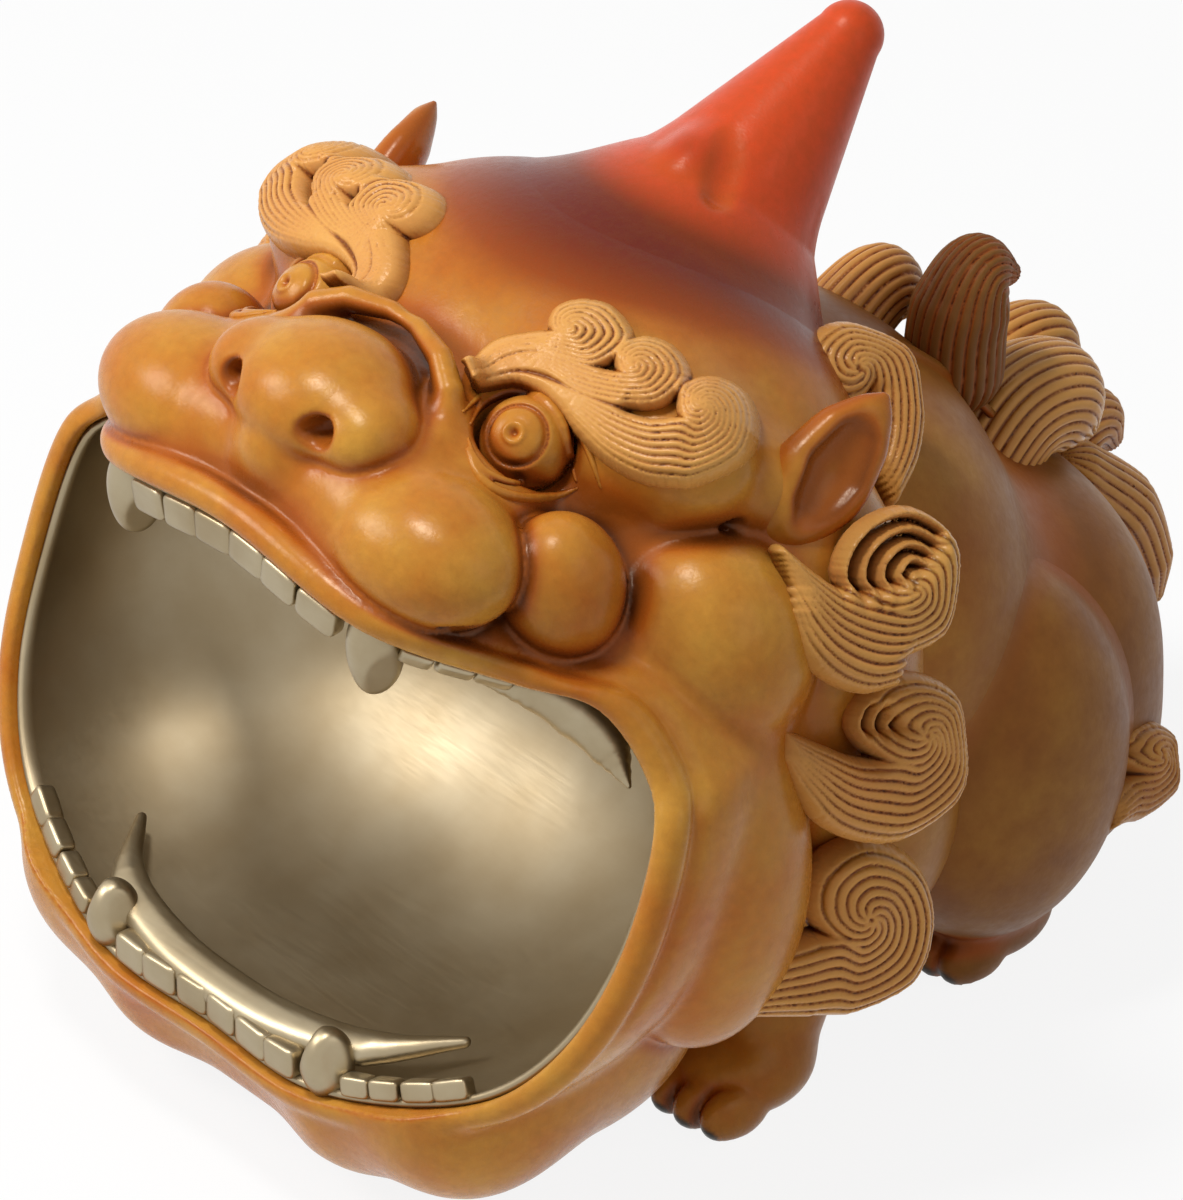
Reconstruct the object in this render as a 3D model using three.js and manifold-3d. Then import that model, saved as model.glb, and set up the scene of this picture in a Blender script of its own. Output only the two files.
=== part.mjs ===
import * as THREE from "three";
import { mergeVertices } from "three/addons/utils/BufferGeometryUtils.js";
import Module from "manifold-3d";

const wasm = await Module();
wasm.setup();

// A seated pixiu with a wide open mouth, cast in separate sections that are let into one another.
// Millimetres. The statue faces -Y and its left side is +X. Heights are counted up from the table,
// and depths back from the inner edge of the lower lip.

// Fits and walls
const FIT = 0.3; // gap between two castings that touch
const WALL = 4; // wall of the hollow head and body
const TABLE = 0; // height of the surface that it sits on

// Mouth and its lining
const MOUTH_HALF_WIDTH = 89.6;
const MOUTH_FLOOR = 32; // height of the lower lip's inner edge
const MOUTH_ROOF = 145; // height of the upper lip's inner edge
const MOUTH_CORNER_DEPTH = 42;
const MOUTH_AXIS_HEIGHT = 88;
const LIP_RADIUS = 4.2;
const BOWL_WALL = 2;
const BOWL_DEPTH = 96;
const BOWL_BELLY = 8; // degrees by which the bowl swells behind its rim
// Lip outline from the middle of the lower lip round one corner to the middle of the upper lip,
// as shares of the half width, the corner's depth and the height of the mouth.
const LIP_OUTLINE = [
  [0, 0, 0], [0.364, 0, 0.007], [0.78, 0.267, 0.12], [0.9375, 0.488, 0.258], [1, 0.745, 0.44],
  [0.982, 0.99, 0.664], [0.915, 1.07, 0.721], [0.792, 1, 0.823], [0.647, 0.762, 0.851],
  [0.424, 0.25, 0.944], [0, 0.174, 1],
];

// Teeth
const TOOTH_GAP = 0.8;
const TOOTH_ROOT = 4; // how far a tooth reaches down before it is trimmed to the lining
const TOOTH_WEB = 2; // radius of the web that joins the teeth of a strip
const TOOTH_SET_BACK = 1.5; // from the lip's edge to the front of a tooth
const LOWER_TOOTH_HEIGHT = 8;
const LOWER_TOOTH_DEPTH = 6;
const UPPER_TOOTH_HEIGHT = 9;
const UPPER_TOOTH_DEPTH = 6;
const LOWER_FANG_ACROSS = 33;
const LOWER_FANG_HEIGHT = 14;
const LOWER_FANG_RADIUS = 6;
const UPPER_FANG_ACROSS = 37.5;
const UPPER_FANG_HEIGHT = 14;
const UPPER_FANG_RADIUS = 5.6;
const FANG_SET_BACK = 2.5; // from the lip's edge to the front of a fang
const TUSK_RADIUS = 5;
// The tusk's run along the upper lip: shares of the mouth's half width, and how far its axis
// lies inside the lip there
const TUSK_RUN = [[0.67, 3], [0.8, 7], [0.92, 7.5], [0.975, 3.5]];
const GUM_RADIUS = 4.5;

// Head: swellings of the casting, each a rounded lump with its middle and its half sizes
const SKULL = { at: [0, 92, 128], radii: [72, 52, 55] };
const BROW_RIDGE = { at: [38, 77, 161], radii: [34, 18, 16] };
const FACE = { at: [0, 66, 95], radii: [92, 48, 64] };
const JAW = { at: [0, 43, 57], radii: [78, 49, 57.5], square: 3.2 };
const UPPER_CHEEK = { at: [65, 71, 124], radii: [24.5, 22, 23] };
const LOWER_CHEEK = { at: [77.5, 62.5, 72], radii: [18, 24, 33] };
const MUZZLE = { at: [37, 24.5, 150], radii: [25, 18, 14] };
const BRIDGE = { at: [0, 42, 152], radii: [48, 30, 22] };
const SIDE_LOBE = { at: [58, 46, 140], radii: [12, 10, 12.5] };
const NOSE = { at: [0, 29.5, 166], radii: [26, 17, 11] };
const NOSE_WING = { at: [18, 32, 163], radii: [9, 10, 9] };
const NOSTRIL = { at: [13.5, 18.5, 170.6], radii: [3.2, 4.5, 3] };
const NOSE_FOLD_RADIUS = 4;
const EAR_BASE = { at: [58, 90, 150], radii: [11, 12, 9] };
const MANE_BASE = { at: [60, 100, 100], radii: [24, 28, 52] };

// Eyes, brows, ears and horn
const EYE = { at: [32.2, 55.5, 161], radii: [9, 9, 9] };
const BROW_THICKNESS = 7;
const BROW_CURL_RADIUS = 9.5;
const BROW_FACING = [0.35, -0.5, 0.79];
const EAR_WIDTH = 10.6;
const EAR_THICKNESS = 6.6;
const EAR_RIM = 4.6; // rim left on each side of the hollow of the ear
const HORN_FOOT = [0, 123.5, 160];
const HORN_TIP = [0, 166, 195];
const HORN_FOOT_RADIUS = 25;
const HORN_TIP_RADIUS = 7;
const HORN_FULLNESS = 1.05; // above 1 it stays thick towards the tip
const HORN_TENON_RADIUS = 9;
const HORN_TENON = 14;

// Body and legs
const CHEST = { at: [0, 140, 82], radii: [66, 50, 58] };
const RUMP = { at: [0, 178, 46], radii: [60, 44, 48], square: 2.6 };
const SHOULDER = { at: [50, 122, 58], radii: [22, 26, 36] };
const THIGH = { at: [49, 162, 50], radii: [25, 31, 42] };
const FOREARM_RADIUS = 13;
const FRONT_PAW = { at: [53, 93, 8], radii: [16, 17, 11] };
const HIND_PAW = { at: [49, 166, 8], radii: [12, 15, 10] };
const TOE = { radii: [4.6, 8, 6] };
const TOE_COUNT = 4;
const HOCK_CURL_RADIUS = 11;

// Mane and back locks
const LOCK_RADIUS = 13;
const LOCK_THICKNESS = 9;
const SPINE_LOCK_RADIUS = 12;

// Pegs, neck joint, base plate and fasteners
const PEG_RADIUS = 2.5;
const PEG_REACH = 16; // from inside a casting into the wall that it sits on
const NECK_HEIGHT = 92;
const SPIGOT_RADIUS = 20;
const SPIGOT_FRONT = 122;
const SPIGOT_BACK = 152;
const STUD_RADIUS = 3;
const STUD_FOOT_RADIUS = 9;
const STUD_FOOT_THICKNESS = 2.5;
const WASHER_RADIUS = 8;
const WASHER_THICKNESS = 1.6;
const NUT_RADIUS = 6.5;
const NUT_THICKNESS = 5;
const STUD_END = 4; // thread showing behind the nut
const PLATE_MIDDLE = 180;
const PLATE_HALF_WIDTH = 22;
const PLATE_HALF_DEPTH = 16;
const PLATE_THICKNESS = 3;
const PLATE_LEDGE = 7; // width of the seat round the core opening
const FLOOR_THICKNESS = 7;
const SCREW_RADIUS = 1.5;
const SCREW_HEAD_RADIUS = 2.8;
const SCREW_HEAD_HEIGHT = 1.8;
const SCREW_LENGTH = 6;
const SCREW_INSET = 3.5; // from the plate's edge to the screw's axis

const vec = (x, y, z) => new THREE.Vector3(x, y, z);
const place = ([x, y, z], side = 1) => vec(x * side, y, z);

// Solids from closed geometry, and their joins and cuts
function solidOf(geometry) {
  geometry.deleteAttribute("normal");
  geometry.deleteAttribute("uv");
  const merged = mergeVertices(geometry, 1e-4);
  const corners = merged.attributes.position.array;
  const faces = Uint32Array.from(merged.index.array);
  const build = () => new wasm.Manifold(new wasm.Mesh({
    numProp: 3, vertProperties: corners, triVerts: faces,
  }));
  const solid = build();
  if (solid.volume() > 0) return solid;
  for (let i = 0; i < faces.length; i += 3) {
    [faces[i + 1], faces[i + 2]] = [faces[i + 2], faces[i + 1]];
  }
  return build();
}

const join = (solids) => solids.reduce((whole, solid) => whole.add(solid));
const cut = (solid, cutters) => cutters.reduce((rest, cutter) => rest.subtract(cutter), solid);

function meshOf(name, solid, material) {
  const { vertProperties, triVerts } = solid.getMesh();
  const geometry = new THREE.BufferGeometry();
  geometry.setAttribute("position", new THREE.BufferAttribute(vertProperties, 3));
  geometry.setIndex(new THREE.BufferAttribute(triVerts, 1));
  geometry.computeVertexNormals();
  const mesh = new THREE.Mesh(geometry, material());
  mesh.name = name;
  return mesh;
}

// A rounded lump. A squareness above 2 makes it fuller towards its corners.
function lump({ at, radii, square = 2 }, side = 1, grow = 0, around = 12, down = 7) {
  const geometry = new THREE.SphereGeometry(1, around, down);
  const corners = geometry.attributes.position;
  const middle = place(at, side);
  for (let i = 0; i < corners.count; i += 1) {
    const corner = vec().fromBufferAttribute(corners, i);
    const powers = corner.toArray().map((part) => Math.abs(part) ** square);
    corner.divideScalar((powers[0] + powers[1] + powers[2]) ** (1 / square));
    corner.multiply(vec(radii[0] + grow, radii[1] + grow, radii[2] + grow)).add(middle);
    corners.setXYZ(i, corner.x, corner.y, corner.z);
  }
  return solidOf(geometry);
}

// A skin over rings of points. Each end runs to a point, or the last ring joins the first.
function skin(rings, ends) {
  const sides = rings[0].length;
  const corners = rings.flat();
  const faces = [];
  const spans = ends ? rings.length - 1 : rings.length;
  for (let r = 0; r < spans; r += 1) {
    for (let s = 0; s < sides; s += 1) {
      const a = r * sides + s;
      const b = r * sides + (s + 1) % sides;
      const c = ((r + 1) % rings.length) * sides + s;
      const d = ((r + 1) % rings.length) * sides + (s + 1) % sides;
      faces.push(a, b, c, b, d, c);
    }
  }
  if (ends) {
    const first = corners.push(ends[0]) - 1;
    const last = corners.push(ends[1]) - 1;
    const lastRing = (rings.length - 1) * sides;
    for (let s = 0; s < sides; s += 1) {
      const next = (s + 1) % sides;
      faces.push(first, next, s, last, lastRing + s, lastRing + next);
    }
  }
  const geometry = new THREE.BufferGeometry().setFromPoints(corners);
  geometry.setIndex(faces);
  return solidOf(geometry);
}

// A tapered limb along a smooth path, wide across and thick along the facing direction.
function limb(path, widths, thicknesses, facing, grow = 0, steps = 5, sides = 8) {
  const curve = new THREE.CatmullRomCurve3(path, false, "centripetal");
  const at = (list, t) => {
    const spot = t * (list.length - 1);
    const low = Math.min(Math.floor(spot), list.length - 2);
    return THREE.MathUtils.lerp(list[low], list[low + 1], spot - low) + grow;
  };
  const ring = (t, push, shrink) => {
    const along = curve.getTangent(t).normalize();
    const across = vec().crossVectors(along, facing).normalize();
    const out = vec().crossVectors(across, along).normalize();
    const middle = curve.getPoint(t).addScaledVector(along, push);
    return Array.from({ length: sides }, (_, s) => {
      const turn = (2 * Math.PI * s) / sides;
      return middle.clone()
        .addScaledVector(across, Math.cos(turn) * at(widths, t) * shrink)
        .addScaledVector(out, Math.sin(turn) * at(thicknesses, t) * shrink);
    });
  };
  const headLength = Math.min(at(widths, 0), at(thicknesses, 0));
  const tailLength = Math.min(at(widths, 1), at(thicknesses, 1));
  const rings = [ring(0, -0.7 * headLength, 0.7)];
  for (let i = 0; i <= steps; i += 1) rings.push(ring(i / steps, 0, 1));
  rings.push(ring(1, 0.7 * tailLength, 0.7));
  const tip = (t, push) => curve.getPoint(t).addScaledVector(curve.getTangent(t).normalize(), push);
  return skin(rings, [tip(0, -headLength), tip(1, tailLength)]);
}

// A turned piece. The profile lists radius and distance along the axis, from axis to axis.
function turned(profile, foot, axis, sides) {
  const geometry = new THREE.LatheGeometry(profile.map(([r, s]) => new THREE.Vector2(r, s)), sides);
  geometry.applyQuaternion(new THREE.Quaternion().setFromUnitVectors(vec(0, 1, 0), axis));
  geometry.translate(foot.x, foot.y, foot.z);
  return solidOf(geometry);
}

function block(low, high) {
  const geometry = new THREE.BoxGeometry(...high.clone().sub(low).toArray());
  const middle = low.clone().add(high).multiplyScalar(0.5);
  return solidOf(geometry.translate(middle.x, middle.y, middle.z));
}

// Everything below the table, which soles and seats are cut flat by
const REACH = 400;
const underTable = block(vec(-REACH, -REACH, TABLE - REACH), vec(REACH, REACH, TABLE));

// Mouth outline
const LIP_POINTS = 28;
const mouthHeight = MOUTH_ROOF - MOUTH_FLOOR;
const lipHalf = LIP_OUTLINE.map(([x, y, z]) => vec(
  x * MOUTH_HALF_WIDTH, y * MOUTH_CORNER_DEPTH, MOUTH_FLOOR + z * mouthHeight));
const lipOther = lipHalf.slice(1, -1).reverse().map((p) => vec(-p.x, p.y, p.z));
const lipCurve = new THREE.CatmullRomCurve3([...lipHalf, ...lipOther], true, "centripetal");
const lipPoints = Array.from({ length: LIP_POINTS }, (_, i) => lipCurve.getPoint(i / LIP_POINTS));

function fromAxis(point) {
  return vec(point.x, 0, point.z - MOUTH_AXIS_HEIGHT).normalize();
}

// A ring of the lining: 0 degrees of swing is its widest place and 90 its back.
function bowlRing(swing, outset) {
  const start = THREE.MathUtils.degToRad(-BOWL_BELLY);
  const angle = THREE.MathUtils.degToRad(swing);
  const width = Math.cos(angle) / Math.cos(start);
  const depth = (Math.sin(angle) - Math.sin(start)) / (1 - Math.sin(start));
  return lipPoints.map((p) => {
    const reach = Math.hypot(p.x, p.z - MOUTH_AXIS_HEIGHT) + outset;
    const flat = fromAxis(p).multiplyScalar(reach * width);
    const back = p.y + (BOWL_DEPTH + outset - p.y) * depth;
    return vec(flat.x, back, MOUTH_AXIS_HEIGHT + flat.z);
  });
}

const BOWL_SWINGS = [-BOWL_BELLY, 12, 32, 52, 72];
const bowlBack = (outset) => vec(0, BOWL_DEPTH + outset, MOUTH_AXIS_HEIGHT);

function bowl() {
  const inner = BOWL_SWINGS.map((swing) => bowlRing(swing, 0)).reverse();
  const outer = BOWL_SWINGS.map((swing) => bowlRing(swing, BOWL_WALL));
  return skin([...inner, ...outer], [bowlBack(0), bowlBack(BOWL_WALL)]);
}

// The space inside a surface that lies outset from the lining's inner face, with the way into it
const MOUTH_WAY = 60;
function mouthSpace(outset) {
  const rings = BOWL_SWINGS.map((swing) => bowlRing(swing, outset));
  const front = rings[0].map((p) => vec(p.x, p.y - MOUTH_WAY, p.z));
  const frontMiddle = vec(0, -MOUTH_WAY, MOUTH_AXIS_HEIGHT);
  return skin([front, ...rings], [frontMiddle, bowlBack(outset)]);
}

// The rolled lips round the mouth, with the collar that carries them back to the face.
// Each ring stands out from the lining and forward of its rim by a share of the lip's radius.
const LIP_ROLL = [[0.1, 0.7], [0.9, 1], [1.6, 0.7], [1.9, 0]];
function lips(grow) {
  const ringAt = (swing, out, forward) => bowlRing(swing, BOWL_WALL + out * LIP_RADIUS + grow)
    .map((p) => p.setY(p.y - forward * (LIP_RADIUS + grow)));
  const rings = LIP_ROLL.map(([out, forward]) => ringAt(-BOWL_BELLY, out, forward));
  rings.push(ringAt(14, 1, 0), ringAt(30, 0.5, 0));
  const middleOf = (ring) => vec(0, ring[0].y, MOUTH_AXIS_HEIGHT);
  return skin(rings, [middleOf(rings[0]), middleOf(rings[rings.length - 1])]);
}

// The place on the lip at a distance across from the middle, on the lower or the upper lip
const LIP_SEARCH = 400;
function lipAt(across, upper) {
  const size = Math.abs(across);
  const widest = lipHalf.reduce((best, p) => (p.x > best.x ? p : best)).z;
  let found = null;
  for (let i = 0; i <= LIP_SEARCH; i += 1) {
    const t = (0.5 * i) / LIP_SEARCH;
    const point = lipCurve.getPoint(t);
    if ((point.z > widest) !== upper) continue;
    const miss = Math.abs(point.x - size);
    if (!found || miss < found.miss) found = { miss, t, point };
  }
  const along = lipCurve.getTangent(found.t).normalize();
  const point = found.point;
  if (across < 0) {
    point.x *= -1;
    along.set(-along.x, along.y, along.z).negate();
  }
  return { point, along };
}

// A row of square teeth standing on the lip between two distances across
function teeth({ from, to, count, upper, height, depth }, grow) {
  const parts = [];
  const roots = [];
  const pitch = (to - from) / count;
  for (let i = 0; i < count; i += 1) {
    const { point, along } = lipAt(from + (i + 0.5) * pitch, upper);
    const inward = fromAxis(point).negate();
    const back = vec().crossVectors(inward, along);
    if (back.y < 0) back.negate();
    inward.crossVectors(along, back);
    if (inward.dot(fromAxis(point)) > 0) inward.negate();
    const left = lipAt(from + i * pitch, upper).point;
    const width = left.distanceTo(lipAt(from + (i + 1) * pitch, upper).point) - TOOTH_GAP;
    const geometry = new THREE.BoxGeometry(
      width + 2 * grow, height + TOOTH_ROOT + 2 * grow, depth + 2 * grow);
    const turn = new THREE.Matrix4().makeBasis(along, inward, back);
    geometry.applyMatrix4(turn);
    const middle = point.clone()
      .addScaledVector(inward, (height - TOOTH_ROOT) / 2)
      .addScaledVector(back, TOOTH_SET_BACK + depth / 2);
    geometry.translate(middle.x, middle.y, middle.z);
    parts.push(solidOf(geometry));
    roots.push(point.clone().addScaledVector(inward, TOOTH_WEB)
      .addScaledVector(back, TOOTH_SET_BACK + depth / 2));
  }
  const web = roots.map(() => TOOTH_WEB);
  parts.push(limb(roots, web, web, vec(0, 0, 1), grow, count, 4));
  return join(parts);
}

const LOWER_FRONT_TEETH = {
  from: -(LOWER_FANG_ACROSS - LOWER_FANG_RADIUS), to: LOWER_FANG_ACROSS - LOWER_FANG_RADIUS, count: 6,
  upper: false, height: LOWER_TOOTH_HEIGHT, depth: LOWER_TOOTH_DEPTH,
};
const UPPER_FRONT_TEETH = {
  from: -(UPPER_FANG_ACROSS - UPPER_FANG_RADIUS), to: UPPER_FANG_ACROSS - UPPER_FANG_RADIUS, count: 6,
  upper: true, height: UPPER_TOOTH_HEIGHT, depth: UPPER_TOOTH_DEPTH,
};
const SIDE_TOOTH_RUN = 28; // how far across the lower side teeth run from a fang
const lowerSideTeeth = (side) => ({
  from: side * (LOWER_FANG_ACROSS + LOWER_FANG_RADIUS),
  to: side * (LOWER_FANG_ACROSS + LOWER_FANG_RADIUS + SIDE_TOOTH_RUN), count: 4,
  upper: false, height: LOWER_TOOTH_HEIGHT * 0.7, depth: LOWER_TOOTH_DEPTH,
});
const upperSideTeeth = (side) => ({
  from: side * (UPPER_FANG_ACROSS + UPPER_FANG_RADIUS),
  to: side * (MOUTH_HALF_WIDTH * TUSK_RUN[0][0] - TUSK_RADIUS), count: 3,
  upper: true, height: UPPER_TOOTH_HEIGHT * 0.6, depth: UPPER_TOOTH_DEPTH,
});

function fang({ across, upper, height, radius }, grow) {
  const { point } = lipAt(across, upper);
  const inward = fromAxis(point).negate();
  const rise = vec(0, 0, Math.sign(inward.z));
  const foot = point.clone().add(vec(0, FANG_SET_BACK + radius, 0));
  const path = [
    foot.clone().addScaledVector(rise, -TOOTH_ROOT),
    foot.clone().addScaledVector(rise, height * 0.5),
    foot.clone().addScaledVector(rise, height * 0.93),
  ];
  const taper = [radius, radius * 0.85, radius * 0.35];
  return limb(path, taper, taper, vec(0, 1, 0), grow, 4, 7);
}

// The long tusk that lies along the upper lip and points down into the mouth's corner
function tusk(side, grow) {
  const at = (across, push) => {
    const { point } = lipAt(side * across, true);
    return point.addScaledVector(fromAxis(point), -push).add(vec(0, TUSK_RADIUS, 0));
  };
  const path = TUSK_RUN.map(([share, push]) => at(MOUTH_HALF_WIDTH * share, push));
  const taper = [0.7, 1, 0.8, 0.25].map((share) => share * TUSK_RADIUS);
  return limb(path, taper, taper, vec(0, 1, 0), grow, 6, 7);
}

// The raised gum on the bowl's floor behind the lower teeth, from one pointed end to the other
const GUM_RUN = [[-50, 25, 9], [-32, 16, 4], [0, 13, 2], [32, 16, 4], [50, 25, 9]];
function gum(grow) {
  const path = GUM_RUN.map(([x, back, up]) => vec(x, back, MOUTH_FLOOR + up));
  const taper = [0.22, 0.8, 1, 0.8, 0.22].map((share) => share * GUM_RADIUS);
  return limb(path, taper, taper, vec(0, 0, 1), grow, 8, 7);
}

// A disc with a domed face, and a lock or brow laid out on a plane that faces outwards
function planeAt(at, facing, up, side) {
  const out = place(facing, side).normalize();
  const across = vec().crossVectors(place(up, side), out).normalize().multiplyScalar(side);
  const rise = vec().crossVectors(out, across).multiplyScalar(side);
  const middle = place(at, side);
  return {
    out,
    point: (u, v, w = 0) => middle.clone()
      .addScaledVector(across, u).addScaledVector(rise, v).addScaledVector(out, w),
  };
}

function dome(plane, u, v, radius, thickness, grow) {
  const geometry = new THREE.SphereGeometry(1, 10, 5);
  geometry.scale(radius + grow, radius + grow, thickness + grow);
  const turn = new THREE.Quaternion().setFromUnitVectors(vec(0, 0, 1), plane.out);
  geometry.applyQuaternion(turn);
  const middle = plane.point(u, v);
  return solidOf(geometry.translate(middle.x, middle.y, middle.z));
}

// A mane lock: a tail that sweeps down from its root and rolls up into a curl
function lock({ at, facing, up, root, under, size = 1 }, side, grow) {
  const plane = planeAt(at, facing, up, side);
  const radius = LOCK_RADIUS * size;
  const path = [
    plane.point(root[0], root[1], -4), plane.point(under[0], under[1], -1.5), plane.point(1, -4),
  ];
  const tail = limb(path, [0.75, 0.85, 0.6].map((share) => share * radius),
    [0.5, 0.7, 0.7].map((share) => share * LOCK_THICKNESS), plane.out, grow, 3, 6);
  return join([dome(plane, 0, 0, radius, LOCK_THICKNESS, grow), tail]);
}

const MANE = [
  {
    at: [38, 136, 148], facing: [0.6, 0.5, 0.62], up: [0, -0.6, 0.6], root: [-22, -2],
    under: [-10, -7], size: 0.9,
  },
  { at: [82, 110, 133], facing: [0.93, 0.28, 0.24], up: [0, 0, 1], root: [-21, 6], under: [-13, -8] },
  { at: [87, 109, 98], facing: [0.96, 0.27, 0], up: [0, 0, 1], root: [-24, 9], under: [-13, -8] },
  { at: [85, 98, 58], facing: [0.93, 0.2, -0.25], up: [0, 0, 1], root: [-25, -12], under: [-11, -11] },
];

const HOCK = {
  at: [55, 198, 30], facing: [0.7, 0.7, 0], up: [0, 0, 1], root: [-10, 14], under: [-8, -3],
  size: HOCK_CURL_RADIUS / LOCK_RADIUS,
};

// Brow: a band along the eye that throws up three curls
const BROW_CURLS = [[26, 72.5, 176.5], [42.8, 75.2, 174.8], [59.2, 79.3, 171]];
const BROW_BAND = [[20.5, 57, 173], [29.3, 59.5, 172.5], [38.7, 61.5, 171], [48.2, 65.5, 171], [57, 72, 171]];
const BROW_STEMS = [[[29.3, 59.5, 172.5], [30, 66, 176]], [[38.7, 61.5, 171], [42.5, 68, 175.5]]];
function brow(side, grow) {
  const parts = BROW_CURLS.map((at) => {
    const plane = planeAt(at, BROW_FACING, [0, 0.8, 0.6], side);
    return dome(plane, 0, 0, BROW_CURL_RADIUS, BROW_THICKNESS, grow);
  });
  const facing = place(BROW_FACING, side);
  const path = BROW_BAND.map((at) => place(at, side));
  const width = [0.25, 0.55, 0.8, 0.9, 0.8].map((share) => share * BROW_CURL_RADIUS);
  const deep = [0.4, 0.6, 0.75, 0.8, 0.8].map((share) => share * BROW_THICKNESS);
  parts.push(limb(path, width, deep, facing, grow, 6, 6));
  BROW_STEMS.forEach((stem, i) => {
    const rise = [...stem, BROW_CURLS[i]].map((at) => place(at, side));
    parts.push(limb(rise, rise.map(() => 0.6 * BROW_CURL_RADIUS), rise.map(() => 0.7 * BROW_THICKNESS),
      facing, grow, 3, 6));
  });
  return join(parts);
}

// Ear: a pointed leaf, hollowed on its outer side
const EAR_PATH = [[65.2, 88.3, 144.4], [67.8, 96.5, 149.3], [68.6, 105, 156], [69.4, 115.2, 164.4]];
const EAR_HOLLOW = [[73.3, 91.9, 147], [73.1, 95.9, 150.6], [72.5, 101.2, 155.3], [72, 108.5, 162.5]];
const EAR_FACING = [0.85, -0.37, 0.37];
function earLeaf(side, grow) {
  const path = EAR_PATH.map((at) => place(at, side));
  const widths = [0.5, 0.95, 0.86, 0.15].map((share) => share * EAR_WIDTH);
  const deep = [0.5, 0.95, 0.86, 0.25].map((share) => share * EAR_THICKNESS);
  return limb(path, widths, deep, place(EAR_FACING, side).normalize(), grow, 5, 8);
}

function earHollow(side) {
  const facing = place(EAR_FACING, side).normalize();
  const path = EAR_HOLLOW.map((at) => place(at, side));
  const widths = [0.25, 0.77, 1, 0.25].map((share) => share * (EAR_WIDTH - EAR_RIM));
  const deep = [0.2, 0.45, 0.55, 0.2].map((share) => share * EAR_THICKNESS);
  return limb(path, widths, deep, facing, 0, 5, 8);
}

const earStem = (side) => place(EAR_PATH[1], side)
  .addScaledVector(place(EAR_FACING, side), -0.4 * EAR_THICKNESS);

function horn(grow) {
  const foot = place(HORN_FOOT);
  const axis = place(HORN_TIP).sub(foot);
  const length = axis.length();
  const swell = (share) => THREE.MathUtils.lerp(HORN_FOOT_RADIUS, HORN_TIP_RADIUS, share ** HORN_FULLNESS);
  const profile = [[0, -HORN_TENON - grow], [HORN_FOOT_RADIUS * 0.8 + grow, -HORN_TENON - grow]];
  for (let i = 0; i <= 6; i += 1) profile.push([swell(i / 6) + grow, (length * i) / 6]);
  profile.push([HORN_TIP_RADIUS * 0.7 + grow, length + HORN_TIP_RADIUS * 0.6 + grow]);
  profile.push([0, length + HORN_TIP_RADIUS + grow]);
  return turned(profile, foot, axis.normalize(), 12);
}

// Back locks, set alternately left and right down the slope of the back to the tail. Each lists its
// distance from the middle, its run of depths and heights, and the place on the run that is pegged.
const BACK_LOCKS = [
  {
    across: -8, path: [[166, 112], [174, 122], [182, 125], [190, 118]],
    taper: [1, 1, 0.9, 0.4], pegged: 2,
  },
  {
    across: 12, path: [[184, 115], [185.5, 127], [190, 135.5], [198.5, 131]],
    taper: [0.88, 0.85, 0.6, 0.25], pegged: 1,
  },
  {
    across: -9, path: [[204, 84], [214, 92], [224, 92], [231, 84]],
    taper: [0.8, 0.85, 0.8, 0.4], pegged: 1,
  },
  {
    across: 11, path: [[191, 88], [201, 97], [210, 96], [217, 88]],
    taper: [1, 1.05, 1, 0.5], pegged: 1,
  },
  {
    across: -4, path: [[222, 66], [230, 73], [236, 72], [240, 66]],
    taper: [0.6, 0.65, 0.55, 0.3], pegged: 1,
  },
  {
    across: 6, path: [[222, 70], [234, 56], [240, 42], [243, 32]],
    taper: [0.6, 0.75, 0.62, 0.3], pegged: 0,
  },
];
const BACK_LOCK_INWARD = vec(0, -0.75, -0.66);
const spineOf = ({ across, path }) => path.map(([y, z]) => vec(across, y, z));
function backLock(shape, grow) {
  const { taper } = shape;
  const spine = spineOf(shape);
  const width = taper.map((share) => share * (SPINE_LOCK_RADIUS - FIT));
  return limb(spine, width, width, vec(1, 0, 0), grow, 5, 8);
}

// Legs with paws, cut flat on the table
function paw(pad, side, grow) {
  const spacing = (2 * (pad.radii[0] - TOE.radii[0])) / (TOE_COUNT - 1);
  const parts = [lump(pad, side, grow, 10, 5)];
  for (let i = 0; i < TOE_COUNT; i += 1) {
    const across = pad.at[0] - pad.radii[0] + TOE.radii[0] + i * spacing;
    const bow = Math.abs(i - (TOE_COUNT - 1) / 2) * 1.5;
    const front = pad.at[1] - pad.radii[1] + TOE.radii[1] * 0.5 + bow;
    parts.push(lump({ at: [across, front, TOE.radii[2] * 0.75], radii: TOE.radii }, side, grow, 6, 4));
  }
  return parts;
}

function frontLeg(side, grow) {
  const path = [[51, 118, 52], [52, 106, 30], [53, 97, 10]].map((at) => place(at, side));
  const width = [FOREARM_RADIUS * 1.15, FOREARM_RADIUS, FOREARM_RADIUS];
  const forearm = limb(path, width, width, vec(1, 0, 0), grow, 3, 8);
  return join([lump(SHOULDER, side, grow, 12, 6), forearm, ...paw(FRONT_PAW, side, grow)])
    .subtract(underTable);
}

function hindLeg(side, grow) {
  return join([lump(THIGH, side, grow, 12, 7), ...paw(HIND_PAW, side, grow)]).subtract(underTable);
}

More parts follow.
